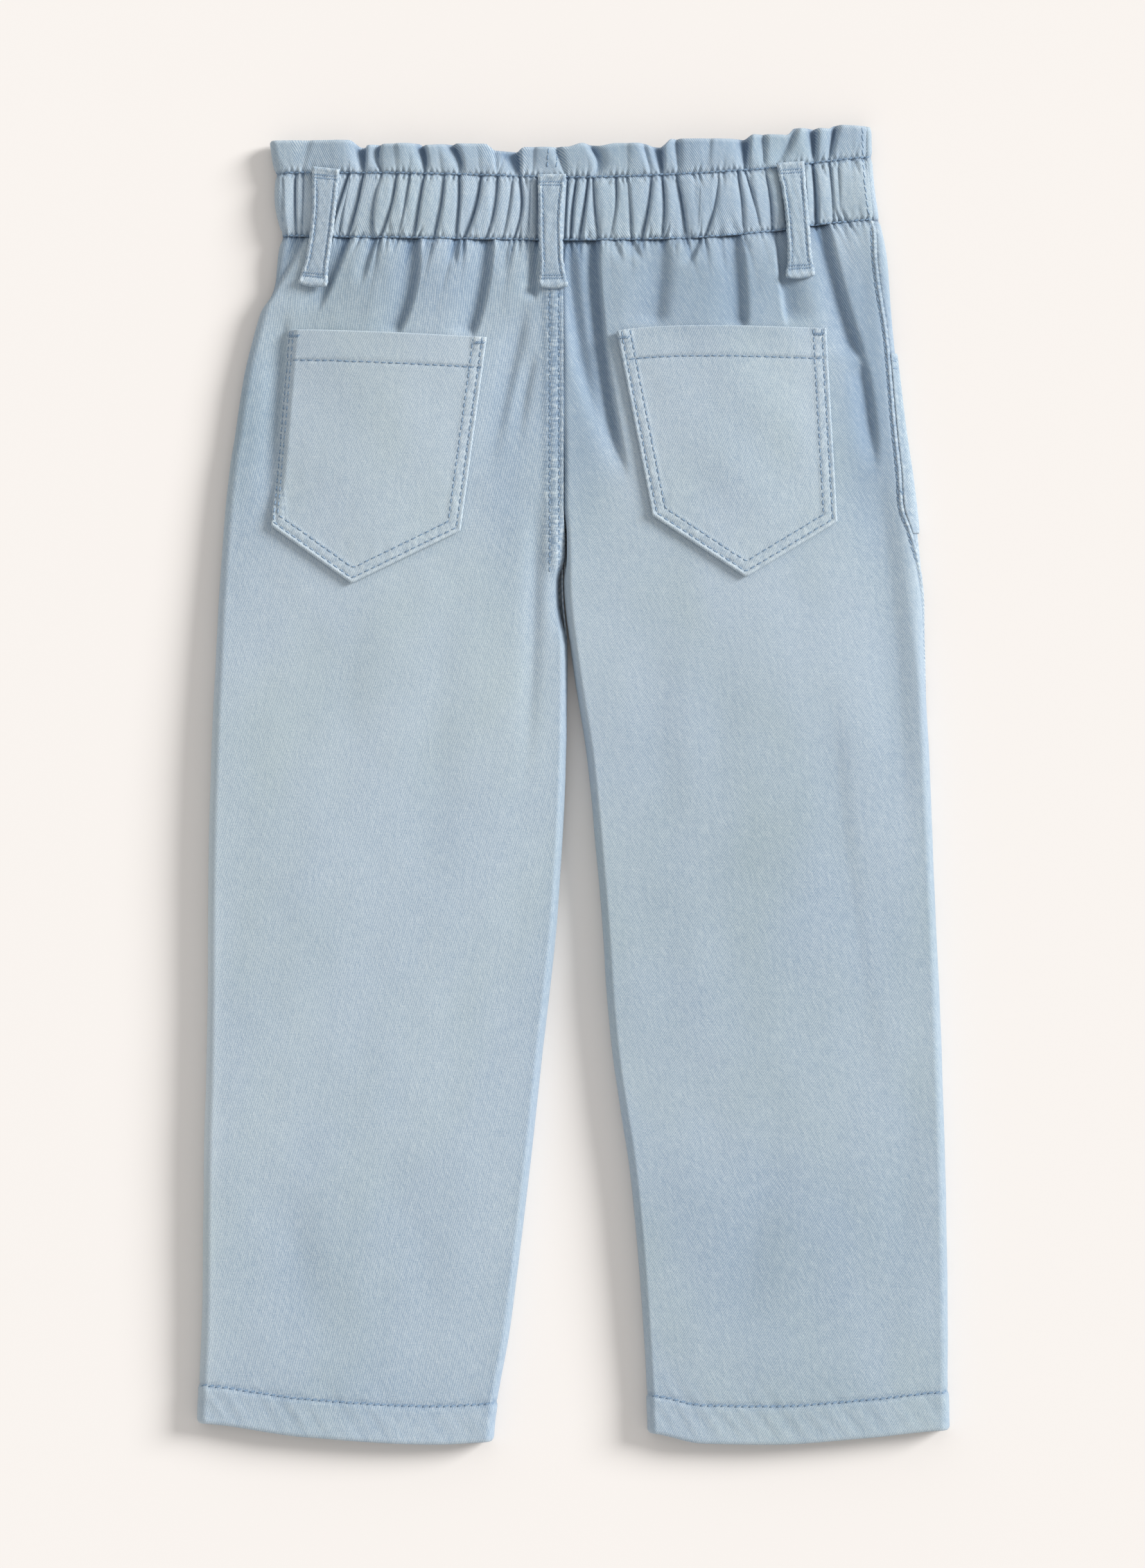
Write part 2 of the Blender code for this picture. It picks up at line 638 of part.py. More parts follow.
def main():
    clear_scene()
    bpy.context.scene.collection.children.link(bpy.data.collections.new("jeans"))
    twill = {name: cloth(name, colour) for name, colour in COLOURS.items()}
    parts = [
        panel("back_left", LEFT, BACK, twill["panel"]),
        panel("back_right", RIGHT, BACK, twill["panel"]),
        panel("front_left", LEFT, FRONT, twill["panel"]),
        panel("front_right", RIGHT, FRONT, twill["panel"]),
        band("waistband_back", BACK, twill["band"]),
        band("waistband_front", FRONT, twill["band"]),
        back_pocket(BACK_POCKETS[0], LEFT, twill["patch"]),
        back_pocket(BACK_POCKETS[1], RIGHT, twill["patch"]),
        front_pocket("pocket_front_left", LEFT, twill["patch"]),
        front_pocket("pocket_front_right", RIGHT, twill["patch"]),
    ]
    parts += [belt_loop(loop, twill["loop"]) for loop in LOOPS]
    stand_on_origin(parts)


main()
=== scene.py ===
"""Child's pull-on jeans in light blue twill, laid flat with the back up: the visible cloth.

Metres, +Z up. +Y runs from the hems to the waist; the wearer's left leg is at -X. Every cloth
is a thin shell with both of its skins, made from the same sizes as the frame's solids and then
creased, puckered and stitched.
"""

import math
from collections import namedtuple

import bpy
import numpy as np
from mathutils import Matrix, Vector
from mathutils.bvhtree import BVHTree


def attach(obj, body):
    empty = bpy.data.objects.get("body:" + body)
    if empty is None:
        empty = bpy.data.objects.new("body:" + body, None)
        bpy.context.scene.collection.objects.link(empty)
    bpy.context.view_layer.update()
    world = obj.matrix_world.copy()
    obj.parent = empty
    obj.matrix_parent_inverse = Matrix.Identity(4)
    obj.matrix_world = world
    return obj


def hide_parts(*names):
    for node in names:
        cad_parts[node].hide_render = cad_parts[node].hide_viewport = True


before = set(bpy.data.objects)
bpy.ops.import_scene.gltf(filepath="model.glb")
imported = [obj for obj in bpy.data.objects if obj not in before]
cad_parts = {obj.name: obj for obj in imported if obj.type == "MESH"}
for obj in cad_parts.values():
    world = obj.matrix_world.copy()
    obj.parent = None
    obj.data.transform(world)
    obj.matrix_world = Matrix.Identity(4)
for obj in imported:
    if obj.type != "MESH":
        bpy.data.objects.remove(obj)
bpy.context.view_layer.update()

BACK, FRONT = 1, -1
LEFT, RIGHT = -1, 1


def table(row_type, *rows):
    """A table whose rows have named columns."""
    return tuple(row_type(*row) for row in rows)


# ---------------------------------------------------------------- the cut and how it lies

WAIST_SEAM_Y = 0.2440
CROTCH_Y = 0.0880
SEAT_OPENS_Y = 0.1250
HEM_Y = -0.2920
BACK_ROLL = 0.0080
HIP_START_Y = 0.0400
HIP_FADE = 0.0600
WAIST_SHIFT_Y = 0.1700
HEM_SHIFT_Y = -0.2100
LEG_ROLL = 0.0038
SIDE_STARTS = 0.45
FRONT_ROLL = 0.0045
INNER_ROLL = 0.0036
MIDDLE_SHARE = 0.40
FRONT_LIFT = 0.0015
LIFT_FULL_Y = 0.0850
LIFT_START_Y = 0.0550
LAP_HEIGHT = 0.0012
LAP_REACH = 0.0150
LAP_FADE = 0.0500
LAP_LOW_Y = 0.0200
LAP_HIGH_Y = 0.2000
ORIGIN_SHIFT = np.array([0.0001, 0.0003, 0.0])

CLOTH_THICKNESS = 0.0007
ABOVE_FLOOR = 0.0002
HEM_THICKNESS = 0.0017
BAND_THICKNESS = 0.0015
PATCH_THICKNESS = 0.0010
HEM_DEPTH = 0.0172
# How far each side's ribs lean from the twill's own angle: below the hip, and at the seat
GRAIN_LEANS = {LEFT: (-0.100, -0.150), RIGHT: (0.052, 0.120)}
BAND_LEANS = (-0.06, 0.085)
POCKET_LEAN = -0.04

Outline = namedtuple("Outline",
                     "y left_edge left_inner right_inner right_edge height crown side_drop")
OUTLINES = table(
    Outline,
    (-0.2960, -0.1683, -0.0362, 0.0336, 0.1680, 0.0104, 0.0010, 0.0000),
    (-0.2380, -0.1663, -0.0277, 0.0308, 0.1676, 0.0120, 0.0012, 0.0000),
    (-0.1760, -0.1657, -0.0200, 0.0255, 0.1666, 0.0128, 0.0013, 0.0000),
    (-0.1140, -0.1642, -0.0132, 0.0166, 0.1645, 0.0130, 0.0014, 0.0000),
    (-0.0520, -0.1638, -0.0067, 0.0120, 0.1620, 0.0132, 0.0014, 0.0000),
    (0.0100, -0.1623, -0.0034, 0.0062, 0.1592, 0.0134, 0.0014, 0.0004),
    (0.0590, -0.1602, -0.0027, -0.0012, 0.1570, 0.0134, 0.0014, 0.0010),
    (0.0880, -0.1586, -0.0047, -0.0041, 0.1560, 0.0134, 0.0014, 0.0018),
    (0.1340, -0.1548, -0.0045, -0.0045, 0.1514, 0.0136, 0.0012, 0.0032),
    (0.1580, -0.1514, -0.0045, -0.0045, 0.1480, 0.0138, 0.0010, 0.0040),
    (0.1830, -0.1474, -0.0045, -0.0045, 0.1450, 0.0140, 0.0008, 0.0046),
    (0.2080, -0.1409, -0.0045, -0.0045, 0.1421, 0.0144, 0.0006, 0.0052),
    (0.2266, -0.1344, -0.0045, -0.0045, 0.1406, 0.0147, 0.0004, 0.0056),
    (0.2440, -0.1315, -0.0045, -0.0045, 0.1372, 0.0149, 0.0004, 0.0058),
    (0.2576, -0.1330, -0.0045, -0.0045, 0.1350, 0.0151, 0.0004, 0.0058),
    (0.2731, -0.1341, -0.0045, -0.0045, 0.1338, 0.0150, 0.0004, 0.0058),
    (0.2960, -0.1370, -0.0045, -0.0045, 0.1335, 0.0147, 0.0004, 0.0056),
)

SideSeam = namedtuple("SideSeam", "y left_angle right_angle")
SIDE_SEAMS = table(
    SideSeam,
    (-0.0500, -60.0, -60.0),
    (0.0400, -60.0, -35.0),
    (0.0800, -60.0, 0.0),
    (0.1120, -60.0, 48.0),
    (0.1240, -60.0, 70.0),
    (0.1400, -60.0, 63.0),
    (0.1690, -60.0, 54.0),
    (0.1956, -60.0, 48.0),
    (0.2266, -60.0, 68.0),
    (0.2440, -60.0, 50.0),
    (0.2960, -60.0, 46.0),
)

WaistLine = namedtuple("WaistLine", "x lower_stitch upper_stitch")
WAIST_LINES = table(
    WaistLine,
    (-0.1400, 0.2450, 0.2730),
    (-0.0900, 0.2438, 0.2724),
    (-0.0400, 0.2428, 0.2712),
    (0.0000, 0.2424, 0.2702),
    (0.0450, 0.2430, 0.2715),
    (0.0850, 0.2460, 0.2742),
    (0.1100, 0.2497, 0.2775),
    (0.1400, 0.2522, 0.2804),
)

FrillTop = namedtuple("FrillTop", "x y")
FRILL_TOPS = table(
    FrillTop,
    (-0.1400, 0.2877),
    (-0.1005, 0.2876),
    (-0.0953, 0.2846),
    (-0.0905, 0.2854),
    (-0.0690, 0.2858),
    (-0.0668, 0.2849),
    (-0.0570, 0.2855),
    (-0.0395, 0.2855),
    (-0.0346, 0.2826),
    (-0.0256, 0.2824),
    (-0.0215, 0.2840),
    (-0.0030, 0.2840),
    (0.0040, 0.2858),
    (0.0113, 0.2846),
    (0.0190, 0.2858),
    (0.0300, 0.2858),
    (0.0360, 0.2843),
    (0.0400, 0.2848),
    (0.0436, 0.2877),
    (0.0758, 0.2878),
    (0.0808, 0.2899),
    (0.0955, 0.2899),
    (0.0992, 0.2930),
    (0.1140, 0.2930),
    (0.1176, 0.2946),
    (0.1400, 0.2938),
)

HemLine = namedtuple("HemLine", "x edge")
HEM_LINES = table(
    HemLine,
    (-0.1700, -0.2857),
    (-0.1204, -0.2917),
    (-0.0610, -0.2951),
    (-0.0358, -0.2939),
    (0.0336, -0.2902),
    (0.0575, -0.2946),
    (0.0882, -0.2951),
    (0.1294, -0.2923),
    (0.1700, -0.2888),
)

# ---------------------------------------------------------------- creases, folds and puckers

# Creases of the gathered casing, at its two stitch lines. Each runs gently down from the left
# and comes up steeply on its right, as one lobe of cloth tucks under the next.
Crease = namedtuple("Crease", "upper lower depth left bow high low")
CREASES = table(
    Crease,
    (-0.1301, -0.1306, 0.0010, 0.0020, 0.0004, 1.0, 1.0),
    (-0.1244, -0.1240, 0.0020, 0.0018, -0.0002, 1.0, 1.0),
    (-0.1208, -0.1216, 0.0012, 0.0014, 0.0003, 1.0, 1.0),
    (-0.1005, -0.1096, 0.0024, 0.0024, 0.0002, 1.0, 0.5),
    (-0.0993, -0.1052, 0.0016, 0.0014, 0.0, 0.0, 1.0),
    (-0.0940, -0.1010, 0.0024, 0.0026, 0.0008, 1.0, 1.0),
    (-0.0855, -0.0895, 0.0020, 0.0040, -0.0018, 0.5, 1.0),
    (-0.0790, -0.0862, 0.0021, 0.0022, 0.0013, 0.9, 1.0),
    (-0.0728, -0.0782, 0.0018, 0.0024, 0.0003, 1.0, 0.5),
    (-0.0665, -0.0711, 0.0022, 0.0028, 0.0, 1.0, 1.0),
    (-0.0575, -0.0622, 0.0021, 0.0034, 0.0008, 0.9, 1.0),
    (-0.0508, -0.0524, 0.0024, 0.0024, 0.0006, 1.0, 1.0),
    (-0.0411, -0.0486, 0.0025, 0.0032, 0.0014, 1.0, 1.0),
    (-0.0338, -0.0388, 0.0021, 0.0022, 0.0013, 1.0, 0.8),
    (-0.0270, -0.0316, 0.0016, 0.0022, 0.0007, 0.9, 0.6),
    (-0.0240, -0.0265, 0.0022, 0.0018, 0.0022, 1.0, 0.9),
    (-0.0194, -0.0204, 0.0015, 0.0016, 0.0003, 0.5, 1.0),
    (-0.0158, -0.0162, 0.0018, 0.0015, 0.0, 1.0, 1.0),
    (-0.0026, -0.0040, 0.0020, 0.0012, 0.0, 1.0, 1.0),
    (0.0014, -0.0012, 0.0025, 0.0016, -0.0004, 1.0, 1.0),
    (0.0066, 0.0026, 0.0025, 0.0018, 0.0003, 1.0, 1.0),
    (0.0088, 0.0113, 0.0020, 0.0020, -0.0004, 0.8, 1.0),
    (0.0190, 0.0160, 0.0020, 0.0022, 0.0013, 1.0, 0.3),
    (0.0242, 0.0260, 0.0017, 0.0026, 0.0002, 0.6, 1.0),
    (0.0350, 0.0305, 0.0023, 0.0030, 0.0007, 0.8, 1.0),
    (0.0396, 0.0396, 0.0022, 0.0020, 0.0009, 1.0, 0.9),
    (0.0460, 0.0505, 0.0025, 0.0022, 0.0003, 1.0, 1.0),
    (0.0565, 0.0555, 0.0008, 0.0044, 0.0, 0.4, 0.4),
    (0.0648, 0.0588, 0.0019, 0.0026, 0.0014, 0.5, 1.0),
    (0.0733, 0.0760, 0.0018, 0.0022, 0.0005, 1.0, 0.7),
    (0.0766, 0.0838, 0.0019, 0.0016, 0.0004, 1.0, 0.4),
    (0.0855, 0.0890, 0.0021, 0.0024, 0.0007, 0.7, 1.0),
    (0.0938, 0.0955, 0.0018, 0.0018, 0.0, 1.0, 1.0),
    (0.1030, 0.1042, 0.0010, 0.0020, 0.0, 1.0, 1.0),
    (0.1072, 0.1087, 0.0029, 0.0020, 0.0003, 1.0, 1.0),
    (0.1145, 0.1162, 0.0018, 0.0020, 0.0003, 1.0, 0.6),
    (0.1182, 0.1192, 0.0008, 0.0030, 0.0, 1.0, 0.4),
)

# Folds of the frill, at its stitch line and its top edge
Ruffle = namedtuple("Ruffle", "low high bow depth left right")
RUFFLES = table(
    Ruffle,
    (-0.1215, -0.1180, 0.0, 0.0005, 0.0050, 0.0010),
    (-0.0939, -0.0939, 0.0, 0.0030, 0.0040, 0.0008),
    (-0.0854, -0.0867, -0.0016, 0.0022, 0.0020, 0.0008),
    (-0.0789, -0.0800, 0.0, 0.0005, 0.0030, 0.0010),
    (-0.0733, -0.0728, 0.0, 0.0004, 0.0025, 0.0010),
    (-0.0664, -0.0674, 0.0009, 0.0030, 0.0036, 0.0008),
    (-0.0590, -0.0600, 0.0, 0.0004, 0.0030, 0.0010),
    (-0.0501, -0.0537, 0.0014, 0.0026, 0.0040, 0.0008),
    (-0.0420, -0.0425, 0.0, 0.0005, 0.0035, 0.0010),
    (-0.0343, -0.0354, 0.0, 0.0012, 0.0007, 0.0030),
    (-0.0341, -0.0297, 0.0, 0.0012, 0.0015, 0.0010),
    (-0.0240, -0.0248, 0.0, 0.0030, 0.0085, 0.0006),
    (-0.0185, -0.0175, 0.0, 0.0005, 0.0024, 0.0010),
    (-0.0035, -0.0076, 0.0, 0.0014, 0.0020, 0.0015),
    (0.0089, 0.0072, 0.0029, 0.0022, 0.0016, 0.0030),
    (0.0240, 0.0240, 0.0, 0.0004, 0.0050, 0.0010),
    (0.0348, 0.0312, 0.0, 0.0012, 0.0015, 0.0020),
    (0.0397, 0.0390, 0.0, 0.0030, 0.0035, 0.0007),
    (0.0469, 0.0462, 0.0, 0.0014, 0.0020, 0.0010),
    (0.0600, 0.0610, 0.0, 0.0005, 0.0050, 0.0010),
    (0.0768, 0.0778, 0.0, 0.0030, 0.0040, 0.0008),
    (0.0850, 0.0850, 0.0, 0.0014, 0.0026, 0.0010),
    (0.0900, 0.0995, 0.0, 0.0014, 0.0040, 0.0020),
    (0.1078, 0.1082, 0.0, 0.0030, 0.0034, 0.0007),
    (0.1141, 0.1177, 0.0, 0.0022, 0.0026, 0.0010),
)

# Folds of the back, through a high, a middle and a low point
Fold = namedtuple("Fold", "x_high y_high x_mid y_mid x_low y_low left right depth hold")
BACK_FOLDS = table(
    Fold,
    (-0.1206, 0.2450, -0.1290, 0.2300, -0.1470, 0.2050, 0.0060, 0.0014, 0.0030, 0.55),
    (-0.1005, 0.2445, -0.1062, 0.2310, -0.1160, 0.2080, 0.0066, 0.0014, 0.0032, 0.60),
    (-0.0882, 0.2440, -0.0925, 0.2310, -0.0957, 0.2200, 0.0034, 0.0010, 0.0026, 0.40),
    (-0.0705, 0.2440, -0.0712, 0.2235, -0.0802, 0.1990, 0.0080, 0.0013, 0.0044, 0.86),
    (-0.0640, 0.2440, -0.0655, 0.2380, -0.0670, 0.2320, 0.0026, 0.0010, 0.0014, 0.30),
    (-0.0515, 0.2440, -0.0522, 0.2370, -0.0534, 0.2290, 0.0038, 0.0010, 0.0030, 0.45),
    (-0.0372, 0.2440, -0.0395, 0.2220, -0.0465, 0.1980, 0.0080, 0.0013, 0.0044, 0.86),
    (-0.0290, 0.2430, -0.0300, 0.2350, -0.0312, 0.2240, 0.0036, 0.0012, 0.0018, 0.30),
    (-0.0165, 0.2430, -0.0172, 0.2280, -0.0178, 0.2150, 0.0036, 0.0012, 0.0034, 0.80),
    (-0.0205, 0.2180, -0.0290, 0.1800, -0.0390, 0.1340, 0.0060, 0.0030, 0.0018, 0.45),
    (-0.0170, 0.1950, -0.0220, 0.1720, -0.0250, 0.1450, 0.0046, 0.0022, 0.0014, 0.40),
    (-0.0168, 0.1350, -0.0172, 0.0900, -0.0225, -0.0150, 0.0044, 0.0034, 0.0015, 0.35),
    (0.0092, 0.2440, 0.0128, 0.1960, 0.0242, 0.1340, 0.0064, 0.0012, 0.0056, 0.74),
    (-0.0022, 0.2440, 0.0016, 0.2020, 0.0150, 0.1500, 0.0036, 0.0050, 0.0040, 0.60),
    (0.0185, 0.2430, 0.0205, 0.2370, 0.0225, 0.2300, 0.0030, 0.0010, 0.0018, 0.30),
    (0.0262, 0.2430, 0.0288, 0.2370, 0.0318, 0.2310, 0.0034, 0.0010, 0.0026, 0.40),
    (0.0392, 0.2435, 0.0386, 0.2260, 0.0360, 0.2030, 0.0090, 0.0040, 0.0030, 0.84),
    (0.0565, 0.2440, 0.0538, 0.2370, 0.0498, 0.2290, 0.0036, 0.0011, 0.0028, 0.45),
    (0.0662, 0.2450, 0.0666, 0.2360, 0.0700, 0.2230, 0.0036, 0.0012, 0.0018, 0.45),
    (0.0722, 0.2450, 0.0742, 0.2270, 0.0748, 0.2010, 0.0085, 0.0022, 0.0040, 0.84),
    (0.0905, 0.2480, 0.0926, 0.2290, 0.0965, 0.2030, 0.0012, 0.0075, 0.0034, 0.80),
    (0.1118, 0.2500, 0.1172, 0.2260, 0.1295, 0.1860, 0.0075, 0.0018, 0.0048, 0.82),
    (0.1270, 0.1960, 0.1325, 0.1640, 0.1350, 0.1350, 0.0056, 0.0020, 0.0036, 0.55),
    (0.1330, 0.1560, 0.1400, 0.1000, 0.1475, -0.0450, 0.0120, 0.0065, 0.0018, 0.50),
    (0.1130, 0.0550, 0.1210, -0.0300, 0.1440, -0.1750, 0.0120, 0.0050, 0.0007, 0.30),
    (-0.1290, 0.2150, -0.1335, 0.1600, -0.1380, 0.1020, 0.0058, 0.0024, 0.0030, 0.35),
    (-0.1000, 0.0780, -0.0980, 0.0300, -0.1010, -0.0500, 0.0160, 0.0140, 0.0006, 0.40),
    (-0.0560, 0.0900, -0.0600, 0.0200, -0.0560, -0.0900, 0.0150, 0.0120, 0.0006, 0.40),
    (0.0700, 0.0750, 0.0660, 0.0100, 0.0700, -0.0900, 0.0160, 0.0140, 0.0006, 0.40),
    (0.0350, 0.0900, 0.0400, 0.0100, 0.0420, -0.1200, 0.0130, 0.0120, 0.0006, 0.40),
    (-0.1300, -0.1700, -0.1220, -0.2150, -0.1080, -0.2650, 0.0140, 0.0110, 0.0008, 0.50),
    (-0.0850, -0.1500, -0.0700, -0.2000, -0.0620, -0.2600, 0.0150, 0.0130, 0.0006, 0.50),
    (0.0900, -0.1600, 0.0800, -0.2100, 0.0730, -0.2600, 0.0140, 0.0120, 0.0007, 0.50),
    (0.1500, -0.1200, 0.1480, -0.1900, 0.1400, -0.2600, 0.0120, 0.0110, 0.0006, 0.50),
)

# Folds of the hidden front, which the surface presses nearly flat
FRONT_FOLDS = table(
    Fold,
    (-0.1020, 0.2440, -0.1080, 0.2250, -0.1150, 0.2000, 0.0050, 0.0040, 0.0010, 0.50),
    (-0.0600, 0.2440, -0.0640, 0.2150, -0.0700, 0.1750, 0.0060, 0.0050, 0.0010, 0.50),
    (-0.0250, 0.2440, -0.0270, 0.2000, -0.0240, 0.1400, 0.0060, 0.0050, 0.0010, 0.50),
    (0.0240, 0.2440, 0.0250, 0.2000, 0.0260, 0.1350, 0.0060, 0.0050, 0.0010, 0.50),
    (0.0580, 0.2440, 0.0610, 0.2200, 0.0640, 0.1800, 0.0060, 0.0050, 0.0010, 0.50),
    (0.0980, 0.2460, 0.1020, 0.2250, 0.1060, 0.2000, 0.0050, 0.0040, 0.0010, 0.50),
    (-0.0900, 0.0500, -0.0880, -0.0500, -0.0950, -0.1700, 0.0140, 0.0120, 0.0006, 0.40),
    (0.0900, 0.0400, 0.0920, -0.0600, 0.0980, -0.1800, 0.0140, 0.0120, 0.0006, 0.40),
)

Pocket = namedtuple("Pocket", "name top_left top_right low_right tip low_left tip_share bow")
BACK_POCKETS = (
    Pocket("pocket_back_left", (-0.1276, 0.2027), (-0.0386, 0.1990), (-0.0504, 0.1128),
           (-0.0990, 0.0893), (-0.1350, 0.1150), 0.43, 0.0006),
    Pocket("pocket_back_right", (0.0191, 0.2014), (0.1127, 0.2034), (0.1176, 0.1169),
           (0.0767, 0.0921), (0.0352, 0.1194), 0.50, 0.0022),
)
POCKET_GAP = 0.0005
POCKET_BAND = 0.0137
POCKET_ROWS = (0.0021, 0.0060)
POCKET_FALL = 0.0026
POCKET_FALL_Y = 0.1160
POCKET_FALL_FADE = 0.0260
POCKET_ROLLED = 0.00035
# The left pocket's outer edge turns down the side, where its stitch rows look closer together
TURNED_SHARE = 0.42
TURNED_WIDE = 0.0028
TURNED_SHIFT = 0.0039
RIM_ROUNDING = 0.42

FRONT_POCKET_TOP = 0.1910
FRONT_POCKET_LOW = 0.1120
FRONT_POCKET_TOE = 0.0900
FRONT_POCKET_TOE_SHARE = 0.45
FRONT_POCKET_WIDTH = 0.0860
FRONT_POCKET_SEAM_INSET = 2.0
FRONT_POCKET_TALL = 0.085
FRONT_POCKET_ROWS = (0.0022, 0.0052)
FRONT_POCKET_GAP = 0.0003

LOOP_THICKNESS = 0.0012
LOOP_LIFT = 0.0006
LOOP_ROW_INSET = 0.0021
LoopWidth = namedtuple("LoopWidth", "share half")
LOOP_WIDTHS = table(
    LoopWidth,
    (0.00, 0.0063),
    (0.07, 0.0062),
    (0.25, 0.0056),
    (0.50, 0.00525),
    (0.75, 0.0053),
    (0.90, 0.0059),
    (0.97, 0.0066),
    (1.00, 0.0065),
)
Loop = namedtuple("Loop", "name x_high y_high x_low y_low bow face")
LOOPS = table(
    Loop,
    ("loop_back_left", -0.1105, 0.2750, -0.1166, 0.2228, 0.0014, BACK),
    ("loop_back_centre", -0.0096, 0.2716, -0.0090, 0.2215, -0.0010, BACK),
    ("loop_back_right", 0.0966, 0.2774, 0.1012, 0.2262, 0.0008, BACK),
    ("loop_front_left", -0.0620, 0.2740, -0.0620, 0.2230, 0.0005, FRONT),
    ("loop_front_right", 0.0620, 0.2760, 0.0620, 0.2250, -0.0005, FRONT),
)
WashAndShadePatch = namedtuple("WashAndShadePatch", "x y wide tall change")
# Soft patches where the cloth is painted paler or darker: partly the fading of its washing,
# partly painted shade that the modelled folds don't cast themselves, and one painted highlight
# down the left leg's outer edge that lightens the shade of its roll
WASH_AND_SHADE_PATCHES = table(
    WashAndShadePatch,
    (-0.060, 0.285, 0.090, 0.011, -0.34),
    (0.070, 0.287, 0.080, 0.012, -0.52),
    (-0.070, 0.222, 0.070, 0.018, -0.22),
    (0.070, 0.222, 0.060, 0.020, -0.50),
    (0.131, 0.175, 0.012, 0.050, -0.72),
    (0.151, 0.160, 0.008, 0.070, -0.24),
    (-0.0110, 0.175, 0.006, 0.055, -0.20),
    (-0.146, 0.165, 0.010, 0.045, -0.34),
    (0.004, 0.175, 0.012, 0.055, -0.40),
    (-0.028, 0.150, 0.012, 0.050, -0.24),
    (0.065, 0.259, 0.070, 0.012, -0.32),
    (-0.060, 0.259, 0.060, 0.012, -0.14),
    (-0.105, -0.277, 0.080, 0.018, -0.12),
    (0.100, -0.277, 0.080, 0.018, -0.08),
    (0.076, 0.150, 0.040, 0.045, -0.10),
    (0.100, -0.210, 0.080, 0.060, -0.18),
    (0.100, -0.060, 0.080, 0.080, -0.12),
    (-0.167, -0.090, 0.007, 0.210, 0.44),
    (-0.095, 0.040, 0.060, 0.045, 0.06),
    (-0.100, -0.220, 0.070, 0.050, -0.08),
)
# The estimated cut of each cloth: its width and length, and its area where it isn't square
Cut = namedtuple("Cut", "node width length area hold")
CUTS = table(
    Cut,
    ("back_left", 0.178, 0.545, 0.082, "laid"),
    ("back_right", 0.178, 0.545, 0.082, "laid"),
    ("front_left", 0.160, 0.540, 0.075, "laid"),
    ("front_right", 0.180, 0.540, 0.080, "laid"),
    ("waistband_back", 0.356, 0.048, None, "gathered"),
    ("waistband_front", 0.356, 0.048, None, "gathered"),
    ("pocket_back_left", 0.092, 0.112, 0.0088, "laid"),
    ("pocket_back_right", 0.092, 0.112, 0.0088, "laid"),
    ("pocket_front_left", 0.092, 0.100, 0.0082, "laid"),
    ("pocket_front_right", 0.100, 0.100, 0.0090, "laid"),
    ("loop_back_left", 0.0125, 0.056, None, "laid"),
    ("loop_back_centre", 0.0125, 0.054, None, "laid"),
    ("loop_back_right", 0.0125, 0.055, None, "laid"),
    ("loop_front_left", 0.0125, 0.053, None, "laid"),
    ("loop_front_right", 0.0125, 0.053, None, "laid"),
)

# How deep the tables' creases, ruffles and folds are made, and how sharp their bottoms are
CREASE_DEPTH = 1.30
CREASE_SHARP = 0.85
CREASE_LEFT = 0.80
RIGHT_FLANK = 0.0005
RUFFLE_DEPTH = 1.75
RUFFLE_SHARP = 1.4
FOLD_DEPTH = 0.80
FOLD_SHARP = 1.8
# Depths at which the painted shade of a crease, a fold, a gather and the band's relief is darkest
CREASE_DARK = 0.0022
FOLD_DARK = 0.0046
GATHER_DARK = 0.0019
BAND_DARK = 0.0034
# Width of the thin line of painted shade at the bottom of each crease
CREASE_SHADE_WIDTH = 0.00036

# Gathering lines: the cloth is held at the stitches and swells between them
STITCH_HOLD = 0.78
HELD_REACH = 0.0045
BEAD_PITCH = 0.0025
BEAD_RISE = 0.00040
LINE_SINK = 0.0005
RUN_REACHES = (0.005, 0.011)
RUN_DRIFT = 0.12
TUCKS = 108
TUCK_START = -0.135
TUCK_SPAN = 0.275
TUCK_REACHES = (0.0016, 0.0056)
TUCK_DEPTHS = (0.0004, 0.0022)
TUCK_LEAN = 0.35

# The band: its middle and half width, how tall its parts are (as built in rings, and as relief),
# and the places of its columns beside each crease
BAND_MIDDLE_Y = 0.26
BAND_HALF = 0.13
CASING_RINGS = 0.029
FRILL_RINGS = 0.016
CASING_TALL = 0.0285
FRILL_TALL = 0.0145
CREASE_COLUMNS = (-0.0022, -0.0015, -0.0010, -0.0006, -0.0003, 0.0, 0.00018, 0.00036, 0.0006,
                  0.0009, 0.0013)

# Seams
SEAT_LINE_X = -0.0045
SEAT_ROWS = (0.0021, 0.0062)
WELT_WIDTH = 0.0019
SIDE_ROW = WELT_WIDTH + 0.0003
# The shade painted down each leg's edge that faces the light: start, width and strength
SHADE_START = 0.0012
SHADE_WIDE = 0.0035
SHADES = {LEFT: 0.42, RIGHT: 0.34}

# Stitch rows: their pitch, the share of it that is gap, and how far each end is to one side
Stitch = namedtuple("Stitch", "pitch gap slant")
POCKET_STITCH = Stitch(0.0033, 0.36, 0.0)
LOOP_STITCH = Stitch(0.0025, 0.20, 0.00016)
TACK_STITCH = Stitch(0.0011, 0.05, 0.00035)
SEAT_STITCH = Stitch(0.0033, 0.38, 0.0)
FRILL_STITCH = Stitch(0.0030, 0.24, 0.0)
HEM_STITCH = Stitch(0.0031, 0.26, 0.00036)
BAND_STITCH = Stitch(0.0025, 0.16, 0.00012)
SIDE_STITCH = Stitch(0.0033, 0.20, 0.0003)
SHORT_STITCH = Stitch(0.0026, 0.24, 0.0)
# How wide the thread of each seam shows, and how far from a loop's ends its tacks are
POCKET_THREAD = 0.00060
LOOP_THREAD = 0.00044
SEAT_THREAD = 0.00060
HEM_THREAD = 0.00080
BAND_THREAD = 0.00085
SIDE_THREAD = 0.00055
THREAD_STRAY = 0.00007
STITCH_RINGS = 5
STITCH_SIDES = 6
LOOP_TACKS = (0.0036, 0.0050)

